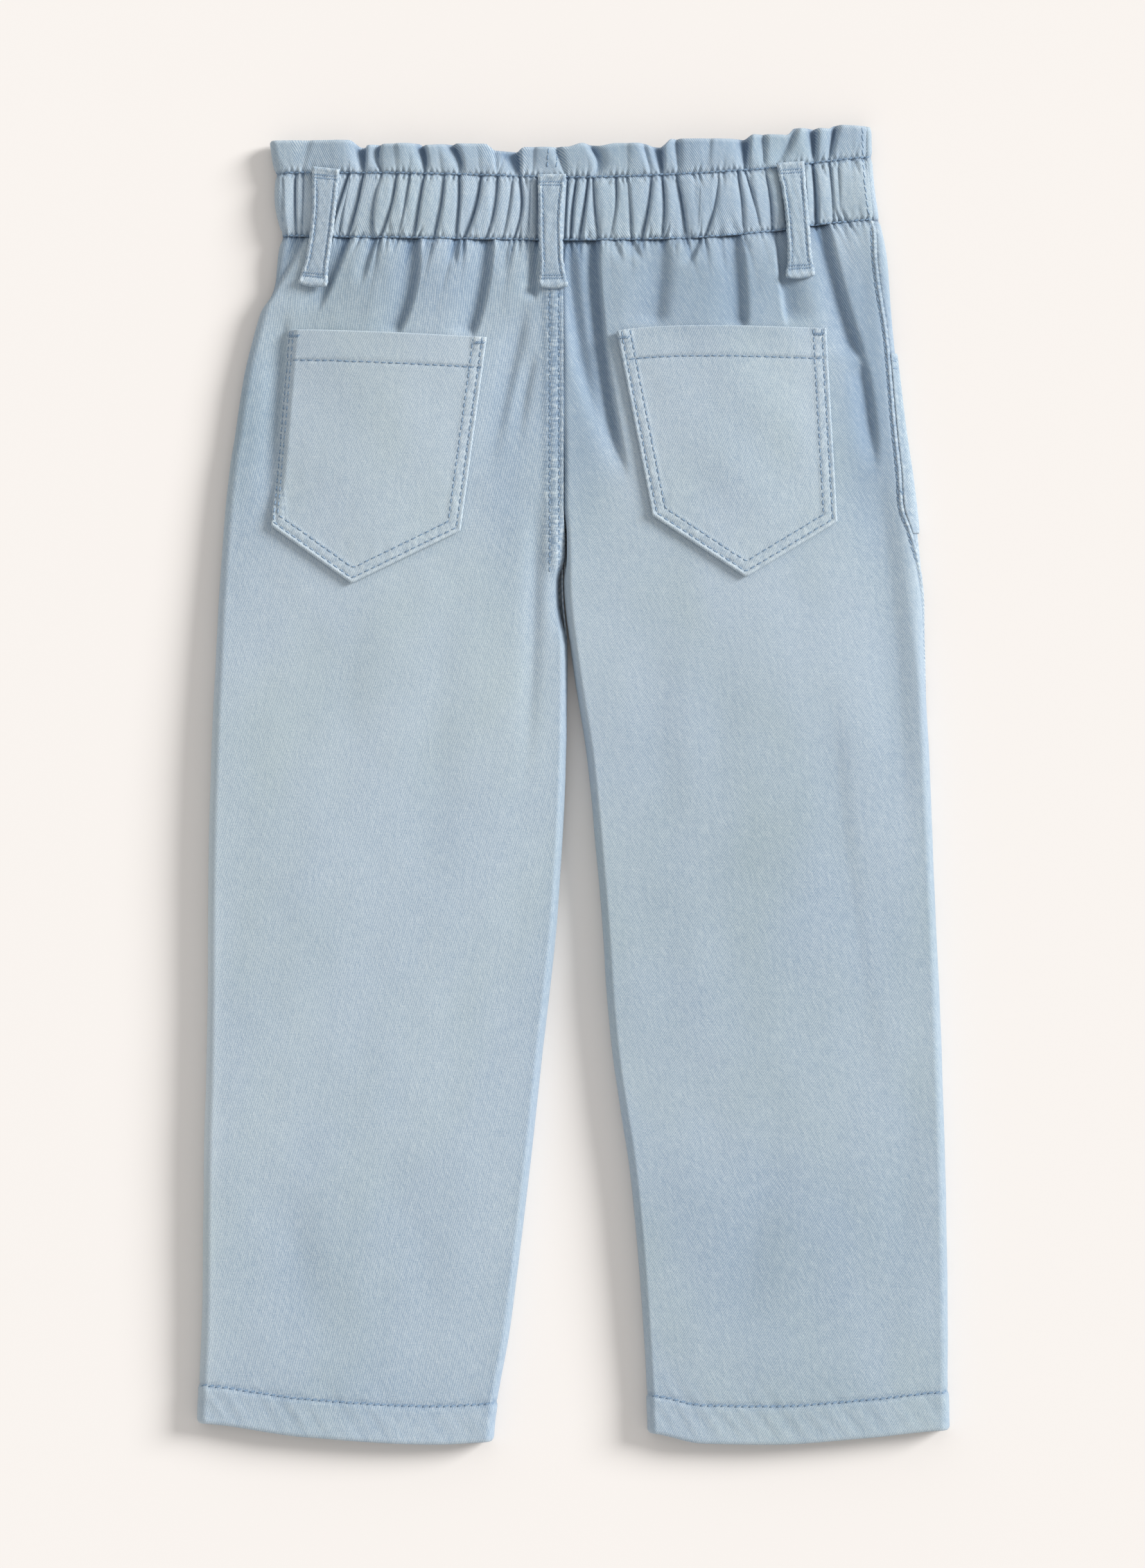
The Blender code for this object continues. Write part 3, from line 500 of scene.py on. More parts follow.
# The twill: its ribs' angle, their pitch and how far they wander
TWILL_TURN = math.radians(67.0)
TWILL_PITCH = 0.00072
WANDER_REACH = 0.00030
# The width and height of the weave's noises: its wander, yarns, grit, slubs, clouds and hue
WANDER = (0.006, 0.006)
YARN = (0.0010, 0.0045)
GRIT = (0.00070, 0.00070)
WARP_SLUB = (0.0008, 0.030)
WEFT_SLUB = (0.024, 0.0008)
CLOUD = (0.045, 0.060)
HUE = (0.060, 0.110)
# How strongly each changes the tone
RIB_TONE = 0.46
YARN_TONE = 0.52
GRIT_TONE = 0.66
WARP_TONE = 0.20
WEFT_TONE = 0.10
CLOUD_TONE = 0.22
# How strongly the lumps' painted light changes the tone: paler tops, shaded hollows
LUMP_LIGHT_AND_SHADE = 2.2
BUMP_STRENGTH = 0.40
BUMP_HEIGHT = 0.00015
LIGHT_BLUE = (0.600, 0.672, 0.712, 1.0)
DARK_BLUE = (0.240, 0.333, 0.440, 1.0)
# The blue of the painted shade in folds, creases, grooves and puckers
SHADE_PAINT_BLUE = (0.105, 0.175, 0.285, 1.0)
WORN_BLUE = (0.610, 0.690, 0.735, 1.0)
GREENISH = (0.540, 0.625, 0.610, 1.0)
DARK_GREENISH = (0.265, 0.345, 0.385, 1.0)
THREAD_BLUE = (0.235, 0.340, 0.465, 1.0)
# The painted shade on each stitch's ends, where it dives into the cloth
STITCH_HOLE_SHADE_BLUE = (0.050, 0.095, 0.180, 1.0)

# Floor, light and camera
FLOOR_COLOUR = (0.885, 0.842, 0.805, 1.0)
FLOOR_SIZE = 12.0
SKY_STRENGTH = 0.60
SUN_STRENGTH = 3.70
SUN_WIDTH = math.radians(22.0)
SUN_HEIGHT = math.radians(24.0)
SUN_AROUND = math.radians(25.0)
CAMERA_PLACE = (-0.0004, 0.0003, 1.955)
CAMERA_LENS = 100.0
CAMERA_SENSOR = 36.0

# ---------------------------------------------------------------- reading the tables


def wash_and_shade_at(x, y):
    """How much paler or darker the patches of washing and painted shade make each point."""
    total = np.zeros_like(x)
    for patch in WASH_AND_SHADE_PATCHES:
        total += patch.change * np.exp(-((x - patch.x) / patch.wide) ** 2
                                       - ((y - patch.y) / patch.tall) ** 2)
    return total


def ease(share):
    """A smooth step from 0 to 1."""
    share = np.clip(share, 0.0, 1.0)
    return share * share * (3.0 - 2.0 * share)


def read(lines, column, at):
    """One column of a table, at places in its first column, on a curve that never overshoots."""
    places = np.array([line[0] for line in lines])
    values = np.array([getattr(line, column) for line in lines])
    rises = np.diff(values) / np.diff(places)
    slopes = np.zeros(len(places))
    before, after = rises[:-1], rises[1:]
    same = before * after > 0.0
    slopes[1:-1][same] = 2.0 * before[same] * after[same] / (before[same] + after[same])
    at = np.clip(at, places[0], places[-1])
    row = np.clip(np.searchsorted(places, at, side="right") - 1, 0, len(places) - 2)
    span = places[row + 1] - places[row]
    t = (at - places[row]) / span
    start, end = slopes[row] * span, slopes[row + 1] * span
    rise = values[row + 1] - values[row]
    return (values[row] + start * t + (3.0 * rise - 2.0 * start - end) * t ** 2
            + (start + end - 2.0 * rise) * t ** 3)


Section = namedtuple("Section",
                     "outer inner height crown side_drop floor open seam_angle")


def section(side, y):
    """The sizes of one half of the garment at some heights."""
    name = "left" if side == LEFT else "right"
    return Section(
        outer=read(OUTLINES, name + "_edge", y),
        inner=read(OUTLINES, name + "_inner", y),
        height=read(OUTLINES, "height", y),
        crown=read(OUTLINES, "crown", y),
        side_drop=read(OUTLINES, "side_drop", y),
        floor=FRONT_LIFT * ease((y - LIFT_START_Y) / (LIFT_FULL_Y - LIFT_START_Y)),
        open=1.0 - ease((y - CROTCH_Y) / (SEAT_OPENS_Y - CROTCH_Y)),
        seam_angle=read(SIDE_SEAMS, name + "_angle", y),
    )


def level(side, face, at, x, y):
    """The height of the back's crowned face, or of the front's flat one."""
    if face == FRONT:
        return at.floor + 0.0 * x
    middle = 0.5 * (at.outer + at.inner)
    across = (x - middle) / (0.5 * np.abs(at.outer - at.inner))
    outward = 0.5 * (side * across + 1.0)
    dropped = at.side_drop * ease((outward - SIDE_STARTS) / (1.0 - SIDE_STARTS))
    lap = 0.0
    if side == RIGHT:
        near = np.exp(-np.abs(x - at.inner) / LAP_REACH)
        lap = (LAP_HEIGHT * near * ease((y - LAP_LOW_Y) / LAP_FADE)
               * ease((LAP_HIGH_Y - y) / LAP_FADE))
    return at.height - at.crown * across ** 2 - dropped + lap


def face_level(face, x, y):
    """The height of one face at any place, whichever half it is on."""
    if face == FRONT:
        return level(LEFT, FRONT, section(LEFT, y), x, y)
    return np.where(x < SEAT_LINE_X, level(LEFT, BACK, section(LEFT, y), x, y),
                    level(RIGHT, BACK, section(RIGHT, y), x, y))


def back_roll(side, y):
    """How far in from the outer edge the back's top lies: tight except beside the right hip."""
    if side == LEFT:
        return LEG_ROLL + 0.0 * y
    return LEG_ROLL + (BACK_ROLL - LEG_ROLL) * ease((y - HIP_START_Y) / HIP_FADE)


def lines_shift(x, y):
    """How far the waist's and the hem's own lines move a point along Y."""
    waist = ease((y - WAIST_SHIFT_Y) / (WAIST_SEAM_Y - WAIST_SHIFT_Y))
    hem = ease((HEM_SHIFT_Y - y) / (HEM_SHIFT_Y - HEM_Y))
    return (waist * (read(WAIST_LINES, "lower_stitch", x) - WAIST_SEAM_Y)
            + hem * (read(HEM_LINES, "edge", x) - HEM_Y))


def on_ring(x, y, base, top, turn):
    """Points on a rounded edge, from its middle height towards its top or underside."""
    z = base + (top - base) * np.abs(np.sin(turn))
    return np.stack([x + 0.0 * z, y + lines_shift(x, y) + 0.0 * z, z], axis=-1)


def edge_points(side, angle, y):
    """Points on the round outer edge: 90 degrees is its top, -90 its underside."""
    at = section(side, y)
    turn = np.radians(angle)
    roll = np.where(angle >= 0.0, back_roll(side, y), FRONT_ROLL)
    x = at.outer - side * roll * (1.0 - np.cos(turn))
    top = level(side, BACK, at, x, y)
    middle = at.floor + MIDDLE_SHARE * (top - at.floor)
    far = np.where(angle >= 0.0, top, at.floor)
    return on_ring(x, y, middle, far, turn)


def inner_points(side, face, angle, y):
    """Points on the round inner edge, which lies flat at the seat seam above the crotch."""
    at = section(side, y)
    turn = np.radians(angle)
    x = at.inner + side * INNER_ROLL * (at.open * (1.0 - np.cos(turn))
                                        + (1.0 - at.open) * angle / 90.0)
    far = level(side, face, at, x, y)
    middle = at.floor + MIDDLE_SHARE * (level(side, BACK, at, x, y) - at.floor)
    return on_ring(x, y, far + at.open * (middle - far), far, turn)


def flat_points(side, face, share, y):
    """Points between the two round edges, from the outer one to the inner one."""
    at = section(side, y)
    start = at.outer - side * (back_roll(side, y) if face == BACK else FRONT_ROLL)
    x = start + (at.inner + side * INNER_ROLL - start) * share
    z = level(side, face, at, x, y)
    return np.stack([x, y + lines_shift(x, y) + 0.0 * z, z], axis=-1)


def distances(points):
    """How far along its row each point lies, for one row or a grid of them."""
    steps = np.linalg.norm(np.diff(points, axis=-2), axis=-1)
    return np.concatenate([np.zeros(steps.shape[:-1] + (1,)), np.cumsum(steps, axis=-1)], axis=-1)


def skin_normals(points, towards):
    """The unit normals of a grid of points, on the side that towards points to."""
    across = np.gradient(points, axis=1)
    down = np.gradient(points, axis=0)
    normals = np.cross(across, down)
    normals /= np.maximum(np.linalg.norm(normals, axis=-1, keepdims=True), 1e-12)
    facing = np.sum(normals * towards, axis=-1)
    return normals * np.sign(np.sum(facing))


# ---------------------------------------------------------------- relief of the cloth


def trough(away, left, right, sharp):
    """A trough, 1 on its line, with its own width on each side. Under 2 it has a sharp bottom."""
    return np.exp(-np.abs(away / np.where(away < 0.0, left, right)) ** sharp)


def folds_relief(folds, x, y):
    """How deep the folds go in at each point. Folds that meet share their ground."""
    total = np.zeros_like(x)
    for fold in folds:
        y0, y1, y2 = fold.y_high, fold.y_mid, fold.y_low
        at = np.clip(y, y2, y0 + 0.004)
        line = (fold.x_high * (at - y1) * (at - y2) / ((y0 - y1) * (y0 - y2))
                + fold.x_mid * (at - y0) * (at - y2) / ((y1 - y0) * (y1 - y2))
                + fold.x_low * (at - y0) * (at - y1) / ((y2 - y0) * (y2 - y1)))
        slope = (fold.x_low - fold.x_high) / (y2 - y0)
        away = (x - line) / math.hypot(1.0, slope)
        share = (y0 - y) / (y0 - y2)
        starts = 1.0 if y0 > 0.241 else ease(share / 0.25)
        fade = starts * (1.0 - ease((share - fold.hold) / (1.0 - fold.hold)))
        depth = FOLD_DEPTH * fold.depth * fade
        total += (depth * trough(away, fold.left, fold.right, FOLD_SHARP)) ** 2
    return np.sqrt(total)


def waves(x, y, seed, length, count=7):
    """Gentle unevenness between -1 and 1, from a few crossing waves."""
    random = np.random.default_rng(seed)
    total = np.zeros_like(x)
    for _ in range(count):
        turn = random.uniform(0.0, 2.0 * math.pi)
        wave = 2.0 * math.pi / (length * random.uniform(0.7, 1.5))
        total += np.sin(wave * (x * math.cos(turn) + y * math.sin(turn))
                        + random.uniform(0.0, 2.0 * math.pi))
    return total / count


def crease_line(crease, share):
    """Where a crease runs, from its share of the way up the casing."""
    bow = crease.bow * np.sin(math.pi * np.clip(share, 0.0, 1.0))
    return crease.lower + (crease.upper - crease.lower) * share + bow


def held(away):
    """How much of a gather's depth is left near a stitch line, which holds the cloth down."""
    return STITCH_HOLD + (1.0 - STITCH_HOLD) * ease(away / HELD_REACH)


def beads(x, away):
    """Cloth swelling between the stitches of a gathering line, on both sides of it."""
    beside = np.exp(-((np.abs(away) - 0.0015) / 0.0009) ** 2)
    return BEAD_RISE * beside * np.cos(2.0 * math.pi * x / BEAD_PITCH)


def gather_runs(x, below):
    """The casing's creases where they run on into the panel below its stitch line."""
    random = np.random.default_rng(5)
    total = np.zeros_like(x)
    for crease in CREASES:
        reach = random.uniform(*RUN_REACHES)
        drift = random.uniform(-RUN_DRIFT, RUN_DRIFT) + 3.2 * crease.lower
        line = crease.lower + drift * below
        left = CREASE_LEFT * crease.left + 0.16 * below
        right = RIGHT_FLANK + 0.06 * below
        depth = CREASE_DEPTH * crease.depth * crease.low * np.exp(-below / reach)
        total += (depth * trough(x - line, left, right, CREASE_SHARP)) ** 3
    return np.cbrt(total) * held(below)


def tuck_ticks(x, below, seed):
    """Short uneven puckers that a gathering stitch line throws, one about every stitch."""
    random = np.random.default_rng(seed)
    total = np.zeros_like(x)
    for number in range(TUCKS):
        centre = TUCK_START + TUCK_SPAN * (number + random.uniform(0.1, 0.9)) / TUCKS
        reach = random.uniform(*TUCK_REACHES)
        lean = random.uniform(-TUCK_LEAN, TUCK_LEAN) + 2.0 * centre
        height = random.uniform(*TUCK_DEPTHS)
        away = x - centre - lean * below
        fade = np.exp(-(np.abs(below) / reach) ** 1.4) * held(np.abs(below))
        total += (height * fade * trough(away, 0.0012, 0.0005, 1.3)) ** 2
    return np.sqrt(total)


def to_line(x, y, first, second):
    """How far points lie to the left of the line from first to second."""
    across, up = second[0] - first[0], second[1] - first[1]
    return (across * (y - first[1]) - up * (x - first[0])) / math.hypot(across, up)


def pocket_corners(pocket):
    return (pocket.top_left, pocket.low_left, pocket.tip, pocket.low_right, pocket.top_right)


def pocket_borders(pocket, x, y):
    """How far inside a pocket's five edges points lie: left, low left, low right, right, top."""
    corners = pocket_corners(pocket)
    inside = [to_line(x, y, a, b) for a, b in zip(corners, corners[1:] + corners[:1])]
    across = (x - pocket.top_left[0]) / (pocket.top_right[0] - pocket.top_left[0])
    inside[4] = inside[4] + pocket.bow * np.sin(math.pi * np.clip(across, 0.0, 1.0) ** 0.6)
    return inside


def groove(away, width=0.0008):
    """A narrow groove along a line, 1 at its bottom."""
    return np.exp(-(away / width) ** 2)


def clear_of_pockets(x, y, face):
    """1 where the panel is free, 0 where a back pocket holds it flat."""
    clear = np.ones_like(x)
    if face == FRONT:
        return clear
    for pocket in BACK_POCKETS:
        inside = pocket_borders(pocket, x, y)
        inside[4] = inside[4] - 0.008
        clear = np.minimum(clear, 1.0 - ease(np.minimum.reduce(inside) / 0.0045))
    return clear


# A cloth's relief and the marks in its colour: deep is painted shade where the cloth goes in and
# down each leg's edge that faces the light, worn its paler wear, rough its lumps
Relief = namedtuple("Relief", "height deep worn rough")


def relief_of(height, deep, worn, rough):
    """A finished relief, with its three shades kept between 0 and 1."""
    return Relief(height, *(np.clip(shade, 0.0, 1.0) for shade in (deep, worn, rough)))


def hem_stitch_y(x):
    """The height of the hem's stitch line."""
    return read(HEM_LINES, "edge", x) + HEM_DEPTH


def seat_seam_relief(side, x, y):
    """The seat seam: a puckered ridge on the left under two rows, the right side beside it."""
    along = ease((y - 0.090) / 0.012)
    gap = ease((0.172 - y) / 0.035)
    if side == RIGHT:
        # Painted shadow in the crevice beside the seam's ridge, darker lower down
        dark = np.exp(-np.abs((x - SEAT_LINE_X) / 0.0010) ** 1.5) * along
        return Relief(-(0.0006 + 0.0014 * gap) * dark, dark * (0.55 + 0.45 * gap), 0.0 * x,
                      0.0 * x)
    away = SEAT_LINE_X - x
    raised = 0.0007 * ease((0.0104 - away) / 0.0052) * along
    rows = sum(groove(away - row) for row in SEAT_ROWS) * along
    band = ease((0.0125 - away) / 0.0070) * along
    dive = 0.0022 * np.exp(-(away / 0.0050) ** 2) * (1.0 - along) * ease((y - 0.060) / 0.020)
    height = raised - 0.00030 * rows - dive
    # Painted shade in the stitch rows, over the seam's band and where the panel dives under
    deep = 0.22 * rows + 0.5 * dive / 0.0022 + 0.14 * band
    worn = 0.30 * np.exp(-((away - 0.0005) / 0.0007) ** 2) * along
    return Relief(height, deep, np.clip(worn, 0.0, 1.0), 0.80 * band)


def hem_relief(x, y, face):
    """The turned-up hem: thicker below its stitch line, and roped between line and edge."""
    above = y - hem_stitch_y(x)
    turned = 1.0 - ease((above + 0.0012) / 0.0018)
    slant = x + 0.75 * (above + HEM_DEPTH)
    rope = waves(slant, 0.12 * y, 31, 0.0105, 5)
    fine = waves(slant, 0.3 * y, 32, 0.0042, 5)
    inside = np.where(above < 0.0, np.sin(np.clip(-above / HEM_DEPTH, 0.0, 1.0) * math.pi), 0.0)
    near = np.exp(-np.abs(above) / 0.006)
    height = (0.0005 * turned + (0.00020 * rope + 0.00006 * fine) * np.maximum(inside, near)
              - (0.0004 if face == BACK else 0.0008) * groove(above, 0.0010))
    # Painted shade in the stitch groove and in the rope's troughs
    deep = 0.50 * groove(above, 0.0010) + 0.14 * np.clip(-rope, 0.0, 1.0) * turned
    worn = (0.10 * turned * np.clip(0.4 + rope, 0.0, 1.0)
            + 0.5 * groove(above + HEM_DEPTH, 0.0012))
    return Relief(height, deep, worn, 0.35 * groove(above, 0.0022))


def side_seam_relief(from_seam, y):
    """The side seam's rope-like welt, with one stitch row beside it."""
    welt = 0.0006 * ease((WELT_WIDTH - from_seam) / 0.0006)
    twist = np.sin(2.0 * math.pi * (y - 0.8 * from_seam) / 0.0032)
    near = ease((SIDE_ROW - from_seam) / 0.0008)
    row = groove(from_seam - SIDE_ROW, 0.0005)
    valley = np.exp(-(from_seam / 0.0006) ** 2)
    height = welt + 0.00012 * twist * near - 0.0002 * row - 0.0002 * valley
    # Painted shade in the stitch row, in the seam's valley and in the twist's troughs
    deep = 0.35 * row + 0.20 * valley + 0.1 * np.clip(-twist, 0.0, 1.0) * near
    worn = near * (0.20 + 0.20 * twist)
    return Relief(height, deep, np.clip(worn, 0.0, 1.0), 0.8 * near)


def panel_relief(side, face, x, y, from_seam):
    """All the relief of a panel: outwards is positive."""
    below = np.maximum(read(WAIST_LINES, "lower_stitch", x) - y, 0.0)
    clear = clear_of_pockets(x, y, face)
    folds = folds_relief(BACK_FOLDS if face == BACK else FRONT_FOLDS, x, y)
    pressed = 1.0 if face == BACK else 0.35
    gathers = gather_runs(x * face, below)
    ticks = tuck_ticks(x, below, 41)
    tucked = pressed * np.hypot(gathers, ticks) * clear
    depth = np.hypot(folds * clear, tucked)
    swell = pressed * (0.00034 * waves(x, y, 11 + side, 0.070)
                       + 0.00016 * waves(x, y, 14 + side, 0.022)) * (0.3 + 0.7 * clear)
    yoke = np.exp(-below / 0.030)
    swell = swell * (1.0 - 0.6 * yoke) + pressed * yoke * clear * (
        0.00024 * waves(x, 0.4 * y, 17, 0.0095) + 0.00008 * waves(x, 0.4 * y, 18, 0.0042))
    puff = pressed * 0.0008 * (below / 0.008) * np.exp(1.0 - below / 0.008) * clear
    line = np.exp(-(below / 0.0012) ** 2)
    hem = hem_relief(x, y, face)
    seam = side_seam_relief(from_seam, y)
    at = section(side, y)
    # Painted shade down the edge of each leg that faces the light
    sunward = np.where(side == LEFT, at.inner - x, at.outer - x)
    shaded = np.exp(-np.maximum(sunward - SHADE_START, 0.0) / SHADE_WIDE) * ease((0.10 - y) / 0.05)
    height = (swell + puff + pressed * beads(x, below) - depth - LINE_SINK * line + hem.height
              + seam.height)
    # Painted shade down the folds, gathers and gathering line, with the hem's, the seams' and the
    # edge's
    deep = (0.75 * np.clip(folds * clear / FOLD_DARK, 0.0, 1.0) + line * pinches(x)
            + np.clip(tucked / GATHER_DARK, 0.0, 1.0) ** 1.4 + hem.deep + seam.deep
            + SHADES[side] * shaded)
    worn = hem.worn + seam.worn
    rough = hem.rough + seam.rough + 0.3 * np.exp(-(below / 0.0025) ** 2)
    if face == BACK:
        seat = seat_seam_relief(side, x, y)
        height, deep, worn = height + seat.height, deep + seat.deep, worn + seat.worn
        rough = rough + seat.rough
    return relief_of(height, deep, worn, rough)


def pinches(x):
    """How much painted shade lies along a gathering line: most where each stitch dives."""
    return 0.38 - 0.30 * np.cos(2.0 * math.pi * x / BEAD_PITCH)


# ---------------------------------------------------------------- making the meshes


def link(name, mesh, material):
    """A mesh as a smooth object in the scene, in its material."""
    mesh.shade_smooth()
    mesh.materials.append(material)
    made = bpy.data.objects.new(name, mesh)
    bpy.context.scene.collection.objects.link(made)
    return made


def shell(name, outer, inner, grain, look, material):
    """A closed shell from two grids of points, with its grain as the UV map in metres."""
    rows, columns = outer.shape[:2]
    count = rows * columns
    index = np.arange(count).reshape(rows, columns)
    quads = np.stack([index[:-1, :-1], index[:-1, 1:], index[1:, 1:], index[1:, :-1]],
                     axis=-1).reshape(-1, 4)
    loop = np.concatenate([index[0, :], index[1:, -1], index[-1, -2::-1], index[-2:0:-1, 0]])
    ahead = np.roll(loop, -1)
    rim = np.stack([ahead, loop, loop + count, ahead + count], axis=-1)
    faces = np.concatenate([quads, quads[:, ::-1] + count, rim])
    # The soft patches of washing and painted shade, at each point
    wash = wash_and_shade_at(outer[..., 0], outer[..., 1])
    points = np.concatenate([outer.reshape(-1, 3), inner.reshape(-1, 3)]) + ORIGIN_SHIFT
    points[:count, 2] = np.maximum(points[:count, 2], 0.0)
    points[count:, 2] = np.maximum(points[count:, 2], ABOVE_FLOOR)
    corners = points[faces]
    volume = (np.sum(corners[:, 0] * np.cross(corners[:, 1], corners[:, 2]))
              + np.sum(corners[:, 0] * np.cross(corners[:, 2], corners[:, 3])))
    if volume < 0.0:
        faces = faces[:, ::-1]
    mesh = bpy.data.meshes.new(name)
    mesh.vertices.add(len(points))
    mesh.vertices.foreach_set("co", points.astype(np.float32).ravel())
    mesh.loops.add(faces.size)
    mesh.loops.foreach_set("vertex_index", faces.astype(np.int32).ravel())
    mesh.polygons.add(len(faces))
    mesh.polygons.foreach_set("loop_start", np.arange(0, faces.size, 4, dtype=np.int32))
    mesh.update(calc_edges=True)
    uv = mesh.uv_layers.new(name="grain")
    flat_grain = grain.reshape(-1, 2)[faces.ravel() % count]
    uv.data.foreach_set("uv", flat_grain.astype(np.float32).ravel())
    # The colour marks as attributes, painted shade among them
    shown = (("deep", look.deep), ("worn", look.worn), ("rough", look.rough), ("wash", wash))
    for label, values in shown:
        layer = mesh.attributes.new(label, "FLOAT", "POINT")
        layer.data.foreach_set("value", np.tile(values.ravel(), 2).astype(np.float32))
    mesh.validate()
    made = link(name, mesh, material)
    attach(made, "root")
    return made


def spaced(*runs):
    """Places along a line, from runs of (start, end, step), without repeats."""
    places = []
    for start, end, step in runs:
        count = max(2, round(abs(end - start) / step) + 1)
        places += list(np.linspace(start, end, count))
    kept = [places[0]]
    for place in places[1:]:
        if abs(place - kept[-1]) > 1e-6:
            kept.append(place)
    return np.array(kept)


def rounded_end(outer, inner, rows):
    """Rounds a shell's last rows in towards its middle, as a folded edge of cloth is."""
    for number in range(rows):
        turn = math.pi / 2.0 * (rows - number) / rows
        pull = 0.5 * (1.0 - math.sin(math.pi / 2.0 - turn)) * 0.92
        row = -1 - number
        across = inner[row] - outer[row]
        outer[row] += across * pull
        inner[row] -= across * pull


def panel_cloth(name, side, face, material):
    """A back or front panel from the waist seam to the hem."""
    if face == BACK:
        y = spaced((0.2440, 0.2180, 0.0009), (0.2180, 0.2000, 0.0014), (0.2000, 0.0850, 0.0021),
                   (0.0850, -0.2640, 0.0058), (-0.2640, -0.2880, 0.0012),
                   (-0.2880, HEM_Y, 0.0006))[:, None]
        edge_share = spaced((0.0, 0.40, 0.05), (0.40, 1.0, 0.15))[None, :-1]
        flat_share = spaced((0.0, 0.88, 0.0052), (0.88, 1.0, 0.0040))[None, :]
        inner_angle = spaced((90.0, 0.0, 6.0))[None, 1:]
    else:
        y = spaced((0.2440, 0.2000, 0.0022), (0.2000, -0.2640, 0.0080),
                   (-0.2640, -0.2880, 0.0020), (-0.2880, HEM_Y, 0.0010))[:, None]
        edge_share = spaced((0.0, 1.0, 0.12))[None, :-1]
        flat_share = spaced((0.0, 1.0, 0.016))[None, :]
        inner_angle = spaced((90.0, 0.0, 15.0))[None, 1:]
    seam_angle = section(side, y).seam_angle
    angle = seam_angle + (face * 90.0 - seam_angle) * edge_share
    points = np.concatenate([
        edge_points(side, angle, y),
        flat_points(side, face, flat_share, y + 0.0 * flat_share),
        inner_points(side, face, inner_angle + 0.0 * y, y + 0.0 * inner_angle)], axis=1)
    normals = skin_normals(points, np.array([0.0, 0.0, float(face)]))
    from_seam = distances(points)
    x, y_here = points[..., 0], points[..., 1]
    relief = panel_relief(side, face, x, y_here, from_seam)
    height = relief.height
    if face == FRONT:
        height = np.minimum(height, 0.0)
    outer = points + normals * height[..., None]
    thickness = CLOTH_THICKNESS + (HEM_THICKNESS - CLOTH_THICKNESS) * (
        1.0 - ease((y_here - read(HEM_LINES, "edge", x) - HEM_DEPTH) / 0.0012))
    inner = outer - normals * thickness[..., None]
    rounded_end(outer, inner, 3)
    grain = grain_of(side, x, y_here, points)
    return shell(name, outer, inner, grain, relief, material)


def grain_of(side, x, y, points):
    """Where each point lies in the cloth before it was sewn, along and across its grain."""
    at = section(side, y)
    middle = 0.5 * (at.outer + at.inner)
    rolled = np.abs(points[..., 2] - level(side, BACK, at, x, y))
    across = (x - middle) + side * np.where(np.abs(x) > np.abs(middle), rolled, -rolled)
    leg_lean, seat_lean = GRAIN_LEANS[side]
    seat = 0.5 * (np.hypot(y - 0.11, 0.04) + y - 0.11)
    across = across + leg_lean * y + (seat_lean - leg_lean) * seat
    return np.stack([across + side * 0.09, y], axis=-1)


# ---------------------------------------------------------------- the gathered band


def crease_weight(crease, share):
    """How strong a crease is, from its share of the way up the casing."""
    return crease.low + (crease.high - crease.low) * ease(share)


def casing_relief(x, share):
    """How deep the casing's creases go in at each point."""
    total = np.zeros_like(x)
    for crease in CREASES:
        away = x - crease_line(crease, share)
        depth = CREASE_DEPTH * crease.depth * crease_weight(crease, share)
        total += (depth * trough(away, CREASE_LEFT * crease.left, RIGHT_FLANK, CREASE_SHARP)) ** 3
    return np.cbrt(total)


def crease_pinch(x, share):
    """A thin line of painted shade down each crease's bottom, 1 where the crease is deepest."""
    total = np.zeros_like(x)
    for crease in CREASES:
        away = x - crease_line(crease, share)
        dark = crease_weight(crease, share) * min(crease.depth / CREASE_DARK, 1.0)
        total += dark * groove(away, CREASE_SHADE_WIDTH)
    return np.clip(total, 0.0, 1.0)


def ruffle_line(ruffle, share):
    """Where a ruffle runs, from its share of the way up the frill."""
    return ruffle.low + (ruffle.high - ruffle.low) * share + ruffle.bow * np.sin(math.pi * share)


def frill_relief(x, share):
    """How deep the frill's ruffles go in at each point."""
    total = np.zeros_like(x)
    for ruffle in RUFFLES:
        opens = 0.45 + 0.75 * share
        away = x - ruffle_line(ruffle, share)
        depth = RUFFLE_DEPTH * ruffle.depth * opens
        total += (depth * trough(away, ruffle.left * opens, ruffle.right, RUFFLE_SHARP)) ** 3
    return np.cbrt(total)


def band_columns(low, high, spread):
    """Columns across the band, close together at the creases and wider between."""
    places = [low, high]
    for crease in CREASES:
        places += [crease_line(crease, 0.5) + step for step in CREASE_COLUMNS]
    places += list(np.arange(low, high, spread))
    places = np.array(sorted(place for place in places if low <= place <= high))
    keep = np.concatenate([[True], np.diff(places) > 0.00012])
    return places[keep]


def follow_creases(columns, share, in_frill):
    """Shifts the band's columns in one row so that they run along its creases."""
    middles = np.array([crease_line(crease, 0.5) for crease in CREASES])
    if not in_frill:
        here = np.array([crease_line(crease, share) for crease in CREASES])
    else:
        here = np.array([crease.upper for crease in CREASES])
        lows = np.array([ruffle.low for ruffle in RUFFLES])
        for number, crease in enumerate(CREASES):
            nearest = int(np.argmin(np.abs(lows - crease.upper)))
            if abs(lows[nearest] - crease.upper) < 0.0016:
                line = ruffle_line(RUFFLES[nearest], share)
                here[number] += (line - here[number]) * ease(share / 0.25)
    here = np.maximum.accumulate(here) + 0.00001 * np.arange(len(here))
    return columns + np.interp(columns, middles, here - middles)


